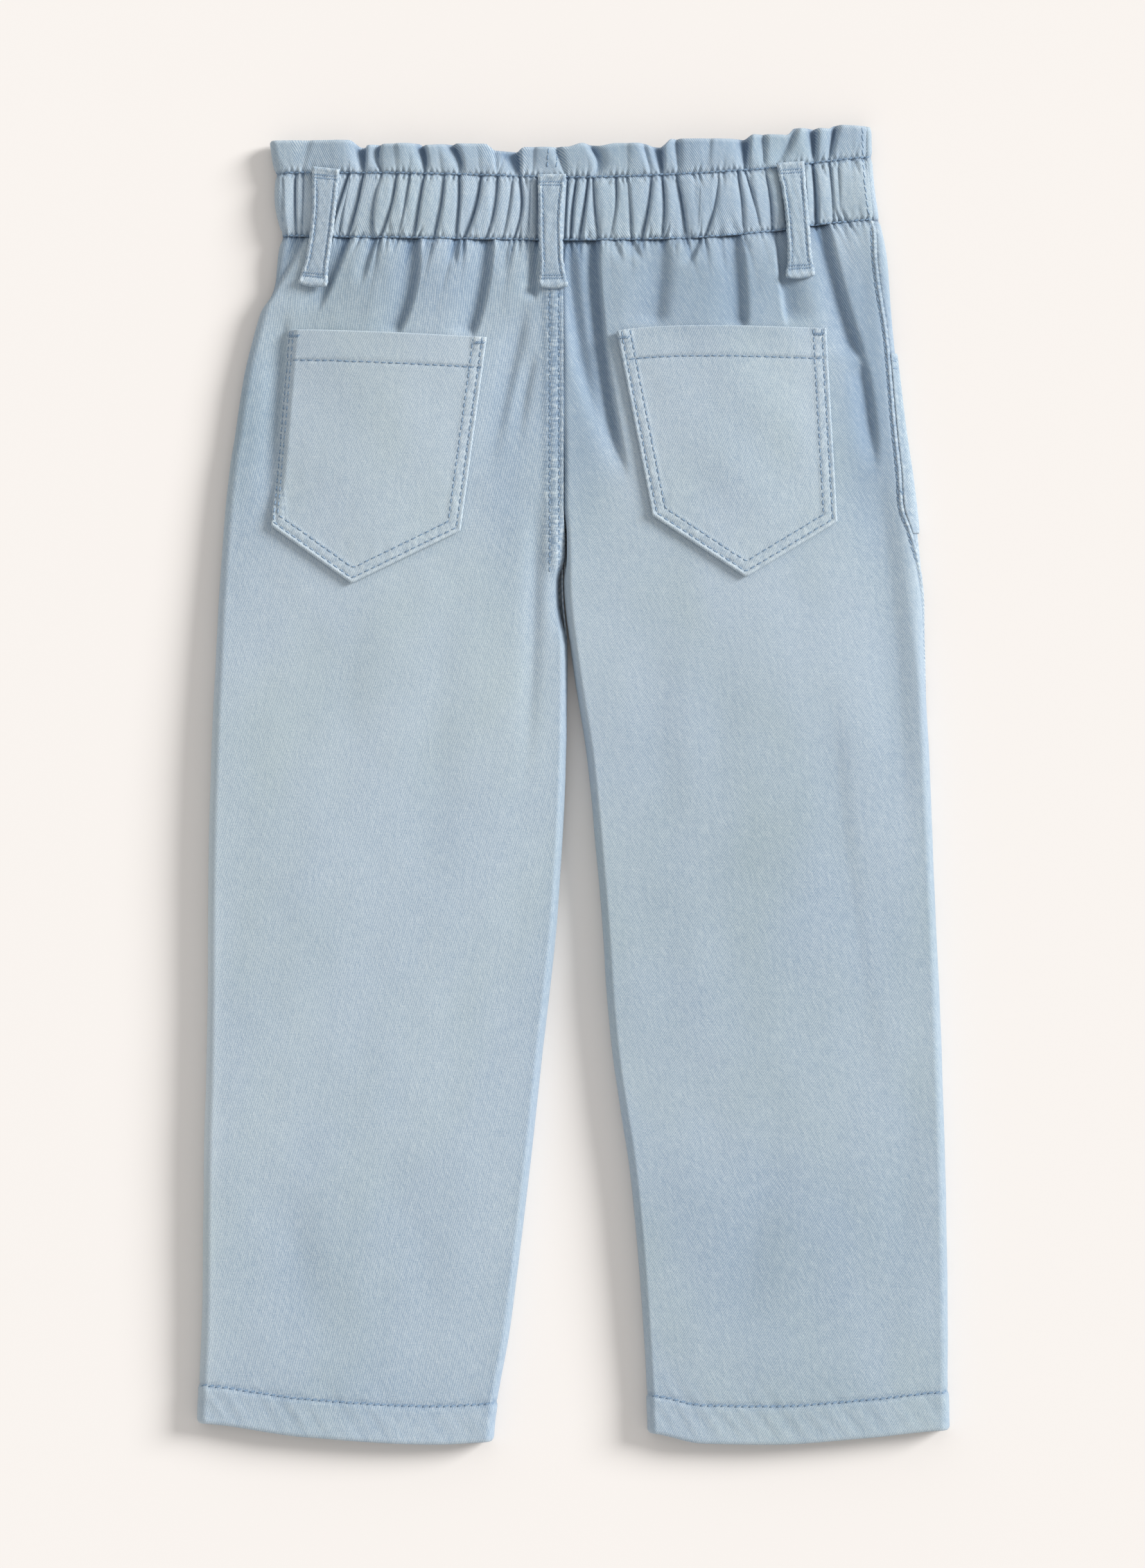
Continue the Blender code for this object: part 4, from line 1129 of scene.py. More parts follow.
def band_cloth(name, face, material):
    """The casing and frill of one face, from side seam to side seam."""
    if face == BACK:
        casing_rows = spaced((0.0, 0.12, 0.018), (0.12, 0.88, 0.032), (0.88, 1.0, 0.018))
        frill_rows = spaced((0.0, 0.15, 0.03), (0.15, 0.85, 0.07), (0.85, 1.0, 0.03))[1:]
        spread, edge_steps = 0.0009, 12
    else:
        casing_rows = spaced((0.0, 1.0, 0.05))
        frill_rows = spaced((0.0, 1.0, 0.08))[1:]
        spread, edge_steps = 0.0018, 8
    rows = [("casing", share) for share in casing_rows] + [("frill", s) for s in frill_rows]
    flat_low = read(OUTLINES, "left_edge", BAND_MIDDLE_Y) + LEG_ROLL
    flat_high = read(OUTLINES, "right_edge", BAND_MIDDLE_Y) - BACK_ROLL
    columns = band_columns(float(flat_low), float(flat_high), spread)
    if face == FRONT:
        columns = columns[::2]
    grid = []
    for part, share in rows:
        nominal = WAIST_SEAM_Y + (CASING_RINGS * share if part == "casing"
                                  else CASING_RINGS + FRILL_RINGS * share)
        ends = {}
        for side in (LEFT, RIGHT):
            seam_angle = float(section(side, np.array(nominal)).seam_angle)
            angles = seam_angle + (face * 90.0 - seam_angle) * np.linspace(0, 1, edge_steps)
            ends[side] = edge_points(side, angles, np.full_like(angles, nominal))
        low, high = ends[LEFT][-1, 0], ends[RIGHT][-1, 0]
        shifted = follow_creases(columns, share, part == "frill") if face == BACK else columns
        fade = ease((columns - columns[0]) / 0.006) * ease((columns[-1] - columns) / 0.006)
        x = columns + (shifted - columns) * fade
        x = low + (x - columns[0]) * (high - low) / (columns[-1] - columns[0])
        x = np.maximum.accumulate(x)
        here = np.full_like(x, nominal)
        flat = np.stack([x, here, face_level(face, x, here)], axis=-1)
        row = np.concatenate([ends[LEFT][:-1], flat, ends[RIGHT][:-1][::-1]])
        lower = read(WAIST_LINES, "lower_stitch", row[:, 0])
        upper = read(WAIST_LINES, "upper_stitch", row[:, 0])
        top = read(FRILL_TOPS, "y", row[:, 0])
        row[:, 1] = (lower + (upper - lower) * share if part == "casing"
                     else upper + (top - upper) * share)
        grid.append(row)
    points = np.array(grid)
    normals = skin_normals(points, np.array([0.0, 0.0, float(face)]))
    normals[..., 1] = 0.0
    normals /= np.linalg.norm(normals, axis=-1, keepdims=True)
    x, y = points[..., 0], points[..., 1]
    part_share = np.array([share for _, share in rows])[:, None] + 0.0 * x
    in_frill = np.array([part == "frill" for part, _ in rows])[:, None]
    casing_share = np.where(in_frill, 1.0, part_share)
    frill_share = np.where(in_frill, part_share, 0.0)
    above_line = casing_share * CASING_TALL
    under_line = np.where(in_frill, frill_share * FRILL_TALL, (1.0 - casing_share) * CASING_TALL)
    held_down = held(np.minimum(above_line, under_line))
    casing = casing_relief(x * face, casing_share) * held_down
    casing *= np.where(in_frill, np.exp(-frill_share / 0.05), 1.0)
    ruffles = frill_relief(x * face, frill_share) * held(under_line)
    ruffles *= np.where(in_frill, ease(0.45 + frill_share / 0.30),
                        0.30 * ease((casing_share - 0.80) / 0.20))
    puff = 0.0009 * np.sin(math.pi * casing_share) * np.where(in_frill, 0.0, 1.0)
    line_sink = LINE_SINK * np.maximum(groove(under_line, 0.0013), groove(above_line, 0.0012))
    ticks = np.maximum(tuck_ticks(x, -above_line, 41), tuck_ticks(x, under_line, 42))
    ticks *= np.where(in_frill, 0.45, 1.0)
    smooth = np.where(in_frill, 0.30, 1.0)
    wrinkles = smooth * (0.00018 * waves(x, 0.15 * y, 52, 0.0042)
                         + 0.00008 * waves(x, 0.15 * y, 53, 0.0021))
    flare = 0.0012 * ease(frill_share / 0.6) * waves(x, y, 51, 0.026)
    pressed = 1.0 if face == BACK else 0.45
    depth = (casing ** 3 + ruffles ** 3 + ticks ** 3) ** (1.0 / 3.0) * pressed + line_sink
    height = (puff + flare + wrinkles + beads(x, under_line) + beads(x, above_line)) * pressed
    height -= depth
    if face == FRONT:
        height = np.minimum(height, 0.0)
    outer = points + normals * height[..., None]
    inner = outer - normals * BAND_THICKNESS
    rounded_end(outer, inner, 3)
    across = distances(outer[len(outer) // 3])
    left_lean, right_lean = BAND_LEANS
    lean = left_lean + (right_lean - left_lean) * ease((x + BAND_HALF) / (2.0 * BAND_HALF))
    grain = np.stack([across[None, :] + lean * (y - BAND_MIDDLE_Y), y], axis=-1)
    near = np.minimum(under_line, above_line)
    # Painted shade in the creases and along the stitch lines, and a thin painted line down each
    # crease
    deep = np.clip(depth / BAND_DARK, 0.0, 1.0) ** 2.0 + groove(near, 0.0011) * pinches(x)
    thin = 0.70 * pressed * np.where(in_frill, np.exp(-frill_share / 0.10), 1.0)
    deep = deep + thin * crease_pinch(x * face, casing_share)
    worn = 0.45 * np.where(in_frill, ease((frill_share - 0.86) / 0.10), 0.0)
    rough = 0.3 * groove(near, 0.0026)
    return shell(name, outer, inner, grain, relief_of(height, deep, worn, rough), material)


# ---------------------------------------------------------------- pockets and loops


def blend_points(first, second, share):
    """Points at some shares of the way between two others."""
    first, second = np.array(first), np.array(second)
    return first + (second - first) * share[..., None]


def pocket_plan(pocket, across, down):
    """Where a pocket's point lies, from its shares across and down."""
    high = blend_points(pocket.top_left, pocket.top_right, across)
    high[..., 1] += pocket.bow * np.sin(math.pi * np.clip(across, 0, 1) ** 0.6)
    left_low = blend_points(pocket.low_left, pocket.tip, across / pocket.tip_share)
    right_low = blend_points(pocket.tip, pocket.low_right,
                             (across - pocket.tip_share) / (1.0 - pocket.tip_share))
    low = np.where((across <= pocket.tip_share)[..., None], left_low, right_low)
    return high + (low - high) * down[..., None]


def back_pocket_cloth(pocket, side, material):
    """A patch pocket: banded mouth, double rows down the sides and along the point."""
    left = spaced((0.0, 0.09, 0.0045), (0.09, pocket.tip_share, 0.014))
    right = spaced((pocket.tip_share, 0.91, 0.014), (0.91, 1.0, 0.0045))[1:]
    across = np.concatenate([left, right])[None, :]
    down = spaced((0.0, 0.03, 0.004), (0.03, 0.13, 0.010), (0.13, 0.17, 0.005),
                  (0.17, 0.90, 0.015), (0.90, 1.0, 0.005))[:, None]
    across, down = across + 0.0 * down, down + 0.0 * across
    plan = pocket_plan(pocket, across, down)
    x, y = plan[..., 0], plan[..., 1]
    edges = pocket_borders(pocket, x, y)
    falls = ease((y - POCKET_FALL_Y) / POCKET_FALL_FADE) if side == LEFT else 0.0 * y
    fallen = POCKET_FALL * falls * (1.0 - ease(edges[0] / 0.0050))
    folded = np.where(edges[0] < TURNED_WIDE, edges[0] / TURNED_SHARE, edges[0] + TURNED_SHIFT)
    edges[0] = folded * falls + edges[0] * (1.0 - falls)
    side_away = np.minimum.reduce(edges[:4])
    low_away = np.minimum(edges[1], edges[2])
    top_away = edges[4]
    rim = np.minimum(side_away, np.abs(top_away))
    stitched = sum(groove(side_away - row, 0.0006) for row in POCKET_ROWS)
    band_line = groove(top_away - POCKET_BAND, 0.0008)
    pucker = waves(x, y, 61 + side, 0.0060, 6)
    broad = waves(x + 0.6 * y, 0.5 * y, 63 + side, 0.034, 6)
    lift = 0.0003 + 0.0003 * ease(side_away / 0.02) + 0.0006 * np.exp(-top_away / 0.010)
    edge_band = ease((0.0074 - side_away) / 0.0012)
    mouth_band = ease((POCKET_BAND - top_away) / 0.0010)
    rolled = POCKET_ROLLED * np.exp(-((low_away - 0.0011) / 0.0009) ** 2)
    near_rows = np.exp(-np.abs(side_away - 0.0065) / 0.0035)
    ear = sum(np.exp(-((edges[number] - 0.0025) / 0.0040) ** 2
                     - ((top_away - 0.0020) / 0.0034) ** 2) for number in (0, 3))
    height = (lift + 0.0003 * edge_band + 0.0002 * mouth_band + rolled - fallen
              - 0.00025 * stitched - 0.00022 * band_line + 0.0006 * ear
              + 0.00016 * pucker * np.maximum(np.maximum(edge_band, near_rows), 0.25)
              + 0.00045 * broad * ease(side_away / 0.012))
    at = section(side, y)
    base = level(side, BACK, at, x, y) + POCKET_GAP
    outer = np.stack([x, y, base + PATCH_THICKNESS + height], axis=-1)
    inner = np.stack([x, y, base + 0.35 * height - 0.65 * fallen], axis=-1)
    round_patch(outer, inner)
    # Painted shade in the stitch rows, along the mouth's line and in the puckers' troughs
    deep = 0.22 * stitched + 0.26 * band_line + 0.12 * np.clip(-pucker, 0, 1) * edge_band
    worn = (0.28 * np.exp(-rim / 0.0011) + 0.10 * edge_band * np.clip(pucker, 0, 1)
            + 0.08 * mouth_band + 0.4 * rolled / POCKET_ROLLED + 0.3 * ear)
    rough = 0.38 * edge_band + 0.25 * groove(top_away - POCKET_BAND, 0.0022) + 0.8 * ear
    grain = np.stack([x - pocket.tip[0] + POCKET_LEAN * y, y], axis=-1)
    return shell(pocket.name + "_cloth", outer, inner, grain,
                 relief_of(height, deep, worn, rough), material)


def loop_place(loop, share, aside):
    """The plan point at a share down a loop and a distance to its right."""
    run = np.array([loop.x_low - loop.x_high, loop.y_low - loop.y_high])
    length = float(np.hypot(*run))
    sideways = np.array([-run[1], run[0]]) / length
    bowed = loop.bow * np.sin(math.pi * share)
    return (np.array([loop.x_high, loop.y_high]) + run * share[..., None]
            + sideways * (aside + bowed)[..., None])


def round_patch(outer, inner):
    """Rounds a patch's rim by drawing its two skins together there."""
    for rows in (np.s_[0, :], np.s_[-1, :], np.s_[:, 0], np.s_[:, -1]):
        across = inner[rows] - outer[rows]
        outer[rows] += across * RIM_ROUNDING
        inner[rows] -= across * RIM_ROUNDING


def front_pocket_cloth(name, side, material):
    """The front patch pocket, whose outer edge runs up beside the side seam."""
    down = spaced((0.0, 0.04, 0.013), (0.04, 0.96, 0.03), (0.96, 1.0, 0.013))[:, None]
    edge = (spaced((0.0, 0.15, 0.05), (0.15, 1.0, 0.09)) if side == RIGHT
            else spaced((0.0, 1.0, 0.25)))[None, :-1]
    flat = spaced((0.0, 0.97, 0.03), (0.97, 1.0, 0.01))[None, :]

    def low_y(across):
        toe = FRONT_POCKET_TOE_SHARE
        drop = np.minimum(np.minimum(across / toe, 1.0), (1.0 - across) / (1.0 - toe))
        return FRONT_POCKET_LOW + (FRONT_POCKET_TOE - FRONT_POCKET_LOW) * drop

    edge_y = FRONT_POCKET_TOP + (low_y(0.0 * edge) - FRONT_POCKET_TOP) * down
    start = section(side, edge_y).seam_angle - FRONT_POCKET_SEAM_INSET
    angle = start + (-90.0 - start) * edge
    flat_y = FRONT_POCKET_TOP + (low_y(flat) - FRONT_POCKET_TOP) * down
    at = section(side, flat_y)
    flat_x = at.outer - side * (FRONT_ROLL + FRONT_POCKET_WIDTH * flat)
    points = np.concatenate([
        edge_points(side, angle, edge_y),
        np.stack([flat_x, flat_y + lines_shift(flat_x, flat_y), at.floor], axis=-1)], axis=1)
    normals = skin_normals(points, np.array([0.0, 0.0, -1.0]))
    run = distances(points)
    shares = np.broadcast_to(down, run.shape)
    from_top = shares * (FRONT_POCKET_TOP - FRONT_POCKET_LOW)
    from_low = (1.0 - shares) * FRONT_POCKET_TALL
    stitched = (sum(groove(from_top - row, 0.0006) for row in FRONT_POCKET_ROWS)
                + groove(run - FRONT_POCKET_ROWS[0], 0.0006) + groove(from_low - 0.0020, 0.0007))
    height = -0.00018 * stitched
    thin = 0.15 + 0.85 * ease(run / 0.0060)
    outer = points + normals * (FRONT_POCKET_GAP + PATCH_THICKNESS * thin + height)[..., None]
    inner = points + normals * FRONT_POCKET_GAP
    round_patch(outer, inner)
    rim = np.minimum(np.minimum(from_top, run), from_low)
    worn = 0.2 * np.exp(-rim / 0.0012)
    grain = np.stack([run * side, points[..., 1]], axis=-1)
    # Painted shade in the stitch rows
    look = relief_of(height, 0.3 * stitched, worn, 0.5 * np.exp(-rim / 0.004))
    return shell(name + "_cloth", outer, inner, grain, look, material)


def loop_cloth(loop, material):
    """A belt loop: a strip folded in three, stitched down both edges and tacked at its ends."""
    across = spaced((-1.0, -0.50, 0.06), (-0.50, 0.50, 0.11), (0.50, 1.0, 0.06))[None, :]
    down = spaced((0.0, 0.10, 0.010), (0.10, 0.90, 0.0115), (0.90, 1.0, 0.007))[:, None]
    across, down = across + 0.0 * down, down + 0.0 * across
    length = math.hypot(loop.x_low - loop.x_high, loop.y_low - loop.y_high)
    run = down * length
    beat = run * (2.0 * math.pi / LOOP_STITCH.pitch)
    ragged = waves(run, 0.004 * across, 81 + len(loop.name), 0.0050, 5)
    half = (read(LOOP_WIDTHS, "half", down)
            + (0.00007 * np.sin(beat) + 0.00022 * ragged) * np.abs(across))
    lip = 0.0010 * ease((down - 0.94) / 0.06) * (1.0 - across ** 2)
    plan = loop_place(loop, down + lip / length, across * half)
    x, y = plan[..., 0], plan[..., 1]
    base = face_level(loop.face, x, y)
    from_edge = (1.0 - np.abs(across)) * half
    from_end = np.minimum(down, 1.0 - down) * length
    free = ease(from_end / 0.012)
    rise = LOOP_LIFT + 0.0010 * np.sin(math.pi * down)
    row = groove(from_edge - LOOP_ROW_INSET, 0.0005)
    edge = ease((LOOP_ROW_INSET - from_edge) / 0.0008)
    rope = np.sin(beat + from_edge * (2.0 * math.pi / 0.0030)) * edge
    low_roll = np.exp(-(((1.0 - down) * length - 0.0014) / 0.0013) ** 2)
    high_roll = np.exp(-((down * length - 0.0010) / 0.0010) ** 2)
    tacks = sum(groove(from_end - row, 0.0006) for row in LOOP_TACKS)
    pucker = waves(x, y, 77 + len(loop.name), 0.0042, 5)
    height = (0.0004 * ease(from_edge / 0.0012) + 0.0002 * edge + 0.00007 * rope * free
              - 0.00030 * row * free + 0.0007 * low_roll + 0.0004 * high_roll
              - 0.0002 * tacks + 0.00016 * pucker)
    pressed = 1.0 if loop.face == BACK else 0.0
    start = base + loop.face * (0.0002 + (rise - 0.0002) * pressed)
    top = start + loop.face * (LOOP_THICKNESS - 0.0002 + height * pressed)
    outer = np.stack([x, y, top], axis=-1)
    inner = np.stack([x, y, start], axis=-1)
    round_patch(outer, inner)
    # Painted shade in the stitch rows, the tacks and the puckers' troughs
    deep = 0.50 * row * free + 0.25 * tacks + 0.15 * np.clip(-pucker, 0, 1)
    worn = (0.12 * edge * np.clip(0.6 + 0.3 * rope, 0, 1) + 0.55 * low_roll + 0.3 * high_roll
            + 0.06)
    rough = 0.50 * edge + 0.45 * (1.0 - free) + 0.15
    look = relief_of(height, deep, worn, rough)
    return shell(loop.name + "_cloth", outer, inner, plan, look, material)


# ---------------------------------------------------------------- materials


class Value:
    """One value of a material, used in ordinary expressions that add its Math nodes."""

    def __init__(self, tree, socket):
        self.tree, self.socket = tree, socket

    def maths(self, operation, *others, swapped=False):
        node = self.tree.nodes.new("ShaderNodeMath")
        node.operation = operation
        terms = [self, *others]
        if swapped:
            terms.reverse()
        for place, term in enumerate(terms):
            if isinstance(term, Value):
                self.tree.links.new(term.socket, node.inputs[place])
            else:
                node.inputs[place].default_value = term
        return Value(self.tree, node.outputs[0])

    def __add__(self, other):
        return self.maths("ADD", other)

    def __sub__(self, other):
        return self.maths("SUBTRACT", other)

    def __rsub__(self, other):
        return self.maths("SUBTRACT", other, swapped=True)

    def __mul__(self, other):
        return self.maths("MULTIPLY", other)

    def __truediv__(self, other):
        return self.maths("DIVIDE", other)

    __radd__, __rmul__ = __add__, __mul__

    def sine(self):
        return self.maths("SINE")

    def within(self):
        """The value, kept between 0 and 1."""
        return self.maths("MAXIMUM", 0.0).maths("MINIMUM", 1.0)


class Finish:
    """A material under construction: its node tree, and one way to add any node."""

    def __init__(self, name):
        self.material = bpy.data.materials.new(name)
        self.material.use_nodes = True
        self.tree = self.material.node_tree
        self.shader = self.tree.nodes["Principled BSDF"]

    def node(self, kind, settings=None, inputs=None, out=0):
        made = self.tree.nodes.new(kind)
        for key, value in (settings or {}).items():
            setattr(made, key, value)
        for key, value in (inputs or {}).items():
            self.feed(made.inputs[key], value)
        return Value(self.tree, made.outputs[out])

    def feed(self, socket, value):
        if isinstance(value, Value):
            self.tree.links.new(value.socket, socket)
        else:
            socket.default_value = value

    def noise(self, vector, scale, detail=2.0):
        return self.node("ShaderNodeTexNoise", {"noise_dimensions": "3D"},
                         {"Vector": vector, "Scale": scale, "Detail": detail})

    def mix(self, factor, first, second):
        return self.node("ShaderNodeMix", {"data_type": "RGBA"},
                         {0: factor, 6: first, 7: second}, out=2)

    def patches(self, u, v, wide, tall, detail=2.0):
        """Noise over the cloth, in patches of a width and a height."""
        place = self.node("ShaderNodeCombineXYZ", None, {0: u / wide, 1: v / tall, 2: 0.0})
        return self.noise(place, 1.0, detail)

    def attribute(self, label):
        return self.node("ShaderNodeAttribute", {"attribute_name": label}, out=2)

    def shade(self, inputs):
        """Feeds the shader's inputs, and gives the material."""
        for key, value in inputs.items():
            self.feed(self.shader.inputs[key], value)
        return self.material


def twill(name, lighter, lump_across, lump_along):
    """Warp-faced twill: steep ribs of pale warp over a bluer ground, faded at its edges."""
    finish = Finish(name)
    uv = finish.node("ShaderNodeUVMap", {"uv_map": "grain"})
    split = finish.tree.nodes.new("ShaderNodeSeparateXYZ")
    finish.tree.links.new(uv.socket, split.inputs[0])
    u = Value(finish.tree, split.outputs[0])
    v = Value(finish.tree, split.outputs[1])
    wander = finish.patches(u, v, *WANDER, 1.0)
    across_rib = (u * math.sin(TWILL_TURN) + v * math.cos(TWILL_TURN)
                  + (wander - 0.5) * WANDER_REACH)
    along_rib = u * math.cos(TWILL_TURN) - v * math.sin(TWILL_TURN)
    rib = (across_rib * (2.0 * math.pi / TWILL_PITCH)).sine() * 0.5 + 0.5
    yarns = finish.patches(across_rib, along_rib, *YARN)
    grit = finish.patches(u, v, *GRIT, 1.0)
    warp_slubs = finish.patches(u, v, *WARP_SLUB)
    weft_slubs = finish.patches(u, v, *WEFT_SLUB)
    cloudy = finish.patches(u, v, *CLOUD, 3.0)
    hue = finish.patches(u, v, *HUE)
    lumps = finish.patches(u, v, lump_across, lump_along)
    # The cloth's marks: painted shade, its wear, its patches of washing and painted shade, its
    # lumps
    deep, worn, wash, rough = (finish.attribute(label)
                               for label in ("deep", "worn", "wash", "rough"))
    # Painted light on the lumps: paler on their tops, painted shade in their hollows
    bumpy = (lumps - 0.5) * rough
    dark = 1.0 - wash * 2.2 + deep * 1.4
    pale = (0.5 + wash + (rib - 0.5) * RIB_TONE * dark + (yarns - 0.5) * YARN_TONE * dark
            + (grit - 0.5) * GRIT_TONE + (warp_slubs - 0.5) * WARP_TONE
            + (weft_slubs - 0.5) * WEFT_TONE + (cloudy - 0.5) * CLOUD_TONE
            + bumpy * LUMP_LIGHT_AND_SHADE + lighter).within()
    ground = finish.mix(pale, DARK_BLUE, LIGHT_BLUE)
    greyed = finish.mix(((hue - 0.42) * 1.6).within(), ground,
                        finish.mix(pale, DARK_GREENISH, GREENISH))
    # Painted shade: the cloth goes towards the shade's blue where deep is high
    shaded = finish.mix((deep * 0.92 - bumpy * 1.2).within(), greyed,
                        finish.mix(pale, SHADE_PAINT_BLUE, DARK_BLUE))
    faded = finish.mix((worn * (0.30 + pale * 0.60)).within(), shaded, WORN_BLUE)
    height = rib * 0.7 + yarns * 0.5 + grit * 0.3 + bumpy * 9.0
    bump = finish.node("ShaderNodeBump", None,
                       {"Strength": BUMP_STRENGTH, "Distance": BUMP_HEIGHT, "Height": height})
    return finish.shade({"Base Color": faded, "Normal": bump, "Roughness": 0.88 - pale * 0.08,
                         "Sheen Weight": 0.12, "Sheen Roughness": 0.45,
                         "Specular IOR Level": 0.25})


def thread(name):
    """Matt sewing thread, with painted shade where each stitch dives into the cloth."""
    finish = Finish(name)
    dive = finish.attribute("dive")
    place = finish.node("ShaderNodeTexCoord", None, None, out="Object")
    fibres = finish.noise(place, 3000.0, 1.0)
    colour = finish.mix((dive * 0.9 + (fibres - 0.5) * 0.5).within(),
                        THREAD_BLUE, STITCH_HOLE_SHADE_BLUE)
    return finish.shade({"Base Color": colour, "Roughness": 0.8, "Specular IOR Level": 0.2})


# ---------------------------------------------------------------- stitches


def stitch_shape():
    """One stitch along X, 1 long, as points and faces, and how near its ends each point is."""
    last = 1 + (STITCH_RINGS - 1) * STITCH_SIDES
    points = [(-0.5, 0.0, 0.0)]
    for ring in range(1, STITCH_RINGS):
        turn = math.pi * ring / STITCH_RINGS
        for number in range(STITCH_SIDES):
            around = 2.0 * math.pi * number / STITCH_SIDES
            points.append((-0.5 * math.cos(turn), 0.5 * math.sin(turn) * math.cos(around),
                           0.5 * math.sin(turn) * math.sin(around)))
    points = np.array(points + [(0.5, 0.0, 0.0)])
    faces = []
    for number in range(STITCH_SIDES):
        onward = (number + 1) % STITCH_SIDES
        faces.append((0, 1 + onward, 1 + number))
        for start in range(1, last - STITCH_SIDES, STITCH_SIDES):
            faces.append((start + onward, start + STITCH_SIDES + onward,
                          start + STITCH_SIDES + number, start + number))
        faces.append((last, last - STITCH_SIDES + number, last - STITCH_SIDES + onward))
    return points, faces, np.clip((np.abs(points[:, 0]) - 0.22) / 0.28, 0.0, 1.0)


STITCH_POINTS, STITCH_FACES, STITCH_DIVE = stitch_shape()


class Surface:
    """The finished cloth of one face, to lay stitches on."""

    def __init__(self, pieces, face):
        points, faces = [], []
        for piece in pieces:
            start = len(points)
            points += [vertex.co.copy() for vertex in piece.data.vertices]
            faces += [tuple(start + corner for corner in polygon.vertices)
                      for polygon in piece.data.polygons]
        self.tree = BVHTree.FromPolygons(points, faces)
        self.face = face

    def under(self, x, y):
        """The cloth's outermost point at a place, or None off the cloth."""
        hit = self.tree.ray_cast(Vector((x, y, 0.06 * self.face)),
                                 Vector((0.0, 0.0, -self.face)))
        return (hit[0], hit[1]) if hit[0] is not None else None


def walk(line, stitch):
    """Each stitch's start and end along a line of (x, y) points."""
    line = np.array(line)
    along = distances(line)
    count = max(1, round(along[-1] / stitch.pitch))
    pitch = along[-1] / count
    ends = []
    for number in range(count):
        a = pitch * (number + stitch.gap / 2.0)
        b = pitch * (number + 1.0 - stitch.gap / 2.0)
        start = np.array([np.interp(a, along, line[:, axis]) for axis in (0, 1)])
        end = np.array([np.interp(b, along, line[:, axis]) for axis in (0, 1)])
        run = (end - start) / max(np.linalg.norm(end - start), 1e-9)
        aside = np.array([-run[1], run[0]]) * stitch.slant
        ends.append((start - aside, end + aside))
    return ends


def sew(name, surface, runs, material, width):
    """One mesh of all the stitches of a seam, each laid on the cloth between its ends."""
    random = np.random.default_rng(len(name) * 7 + 3)
    points, faces, dive = [], [], []
    for start, end in runs:
        start = start + random.normal(0.0, THREAD_STRAY, 2)
        end = end + random.normal(0.0, THREAD_STRAY, 2)
        first = surface.under(*(start + ORIGIN_SHIFT[:2]))
        last = surface.under(*(end + ORIGIN_SHIFT[:2]))
        if first is None or last is None:
            continue
        along = last[0] - first[0]
        up = (first[1] + last[1]).normalized()
        if along.length < 1e-5 or along.length > 0.008:
            continue
        middle = (first[0] + last[0]) / 2.0 + up * width * 0.12
        aside = up.cross(along.normalized()).normalized()
        up = along.normalized().cross(aside)
        basis = np.array([np.array(along) * 1.08, np.array(aside) * width,
                          np.array(up) * width * 0.8])
        begin = len(points) * len(STITCH_POINTS)
        stitch = STITCH_POINTS @ basis + np.array(middle)
        stitch[:, 2] = np.maximum(stitch[:, 2], 0.0)
        points.append(stitch)
        dive.append(STITCH_DIVE)
        faces += [tuple(begin + corner for corner in face) for face in STITCH_FACES]
    mesh = bpy.data.meshes.new(name)
    mesh.from_pydata(np.concatenate(points).tolist(), [], faces)
    layer = mesh.attributes.new("dive", "FLOAT", "POINT")
    layer.data.foreach_set("value", np.concatenate(dive).astype(np.float32))
    made = link(name, mesh, material)
    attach(made, "root")
    return made


def bartack(x, y, length, turn, width, count):
    """A short dense bar of cross stitches."""
    run = np.array([math.cos(turn), math.sin(turn)])
    aside = np.array([-run[1], run[0]])
    ends = []
    for number in range(count):
        middle = np.array([x, y]) + run * length * ((number + 0.5) / count - 0.5)
        slant = run * length / count * 0.6
        ends.append((middle - aside * width / 2.0 - slant, middle + aside * width / 2.0 + slant))
    return ends


def line_of(function, start, end):
    """A function's curve as points, about 4 mm apart."""
    places = np.linspace(start, end, max(2, int(abs(end - start) / 0.004)))
    return [(x, float(function(x))) for x in places]


def seam_row_place(y, inset):
    """The plan point on the right back panel at a height and a distance from its side seam."""
    at = section(RIGHT, np.array(y))
    angles = np.linspace(float(at.seam_angle), 90.0, 40)
    points = edge_points(RIGHT, angles, np.full_like(angles, y))
    along = distances(points)
    x = np.interp(inset, along, points[:, 0])
    return (float(x), float(np.interp(inset, along, points[:, 1])))


def pocket_row(pocket, side, inset):
    """One stitch row of a back pocket, from corner to corner along its sides and point."""
    corners = pocket_corners(pocket)
    insets = [inset] * 4
    if side == LEFT:
        insets[0] = inset * TURNED_SHARE
    lines = []
    for number in range(4):
        a, b = np.array(corners[number]), np.array(corners[number + 1])
        run = (b - a) / np.linalg.norm(b - a)
        aside = np.array([-run[1], run[0]]) * insets[number]
        lines.append((a + aside, run))
    path = [lines[0][0]]
    for (a, run), (b, onward) in zip(lines, lines[1:]):
        gap = b - a
        along = (gap[0] * onward[1] - gap[1] * onward[0]) / (run[0] * onward[1]
                                                             - run[1] * onward[0])
        path.append(a + run * along)
    last = np.array(corners[4]) + (lines[3][0] - np.array(corners[3]))
    path.append(last)
    return path


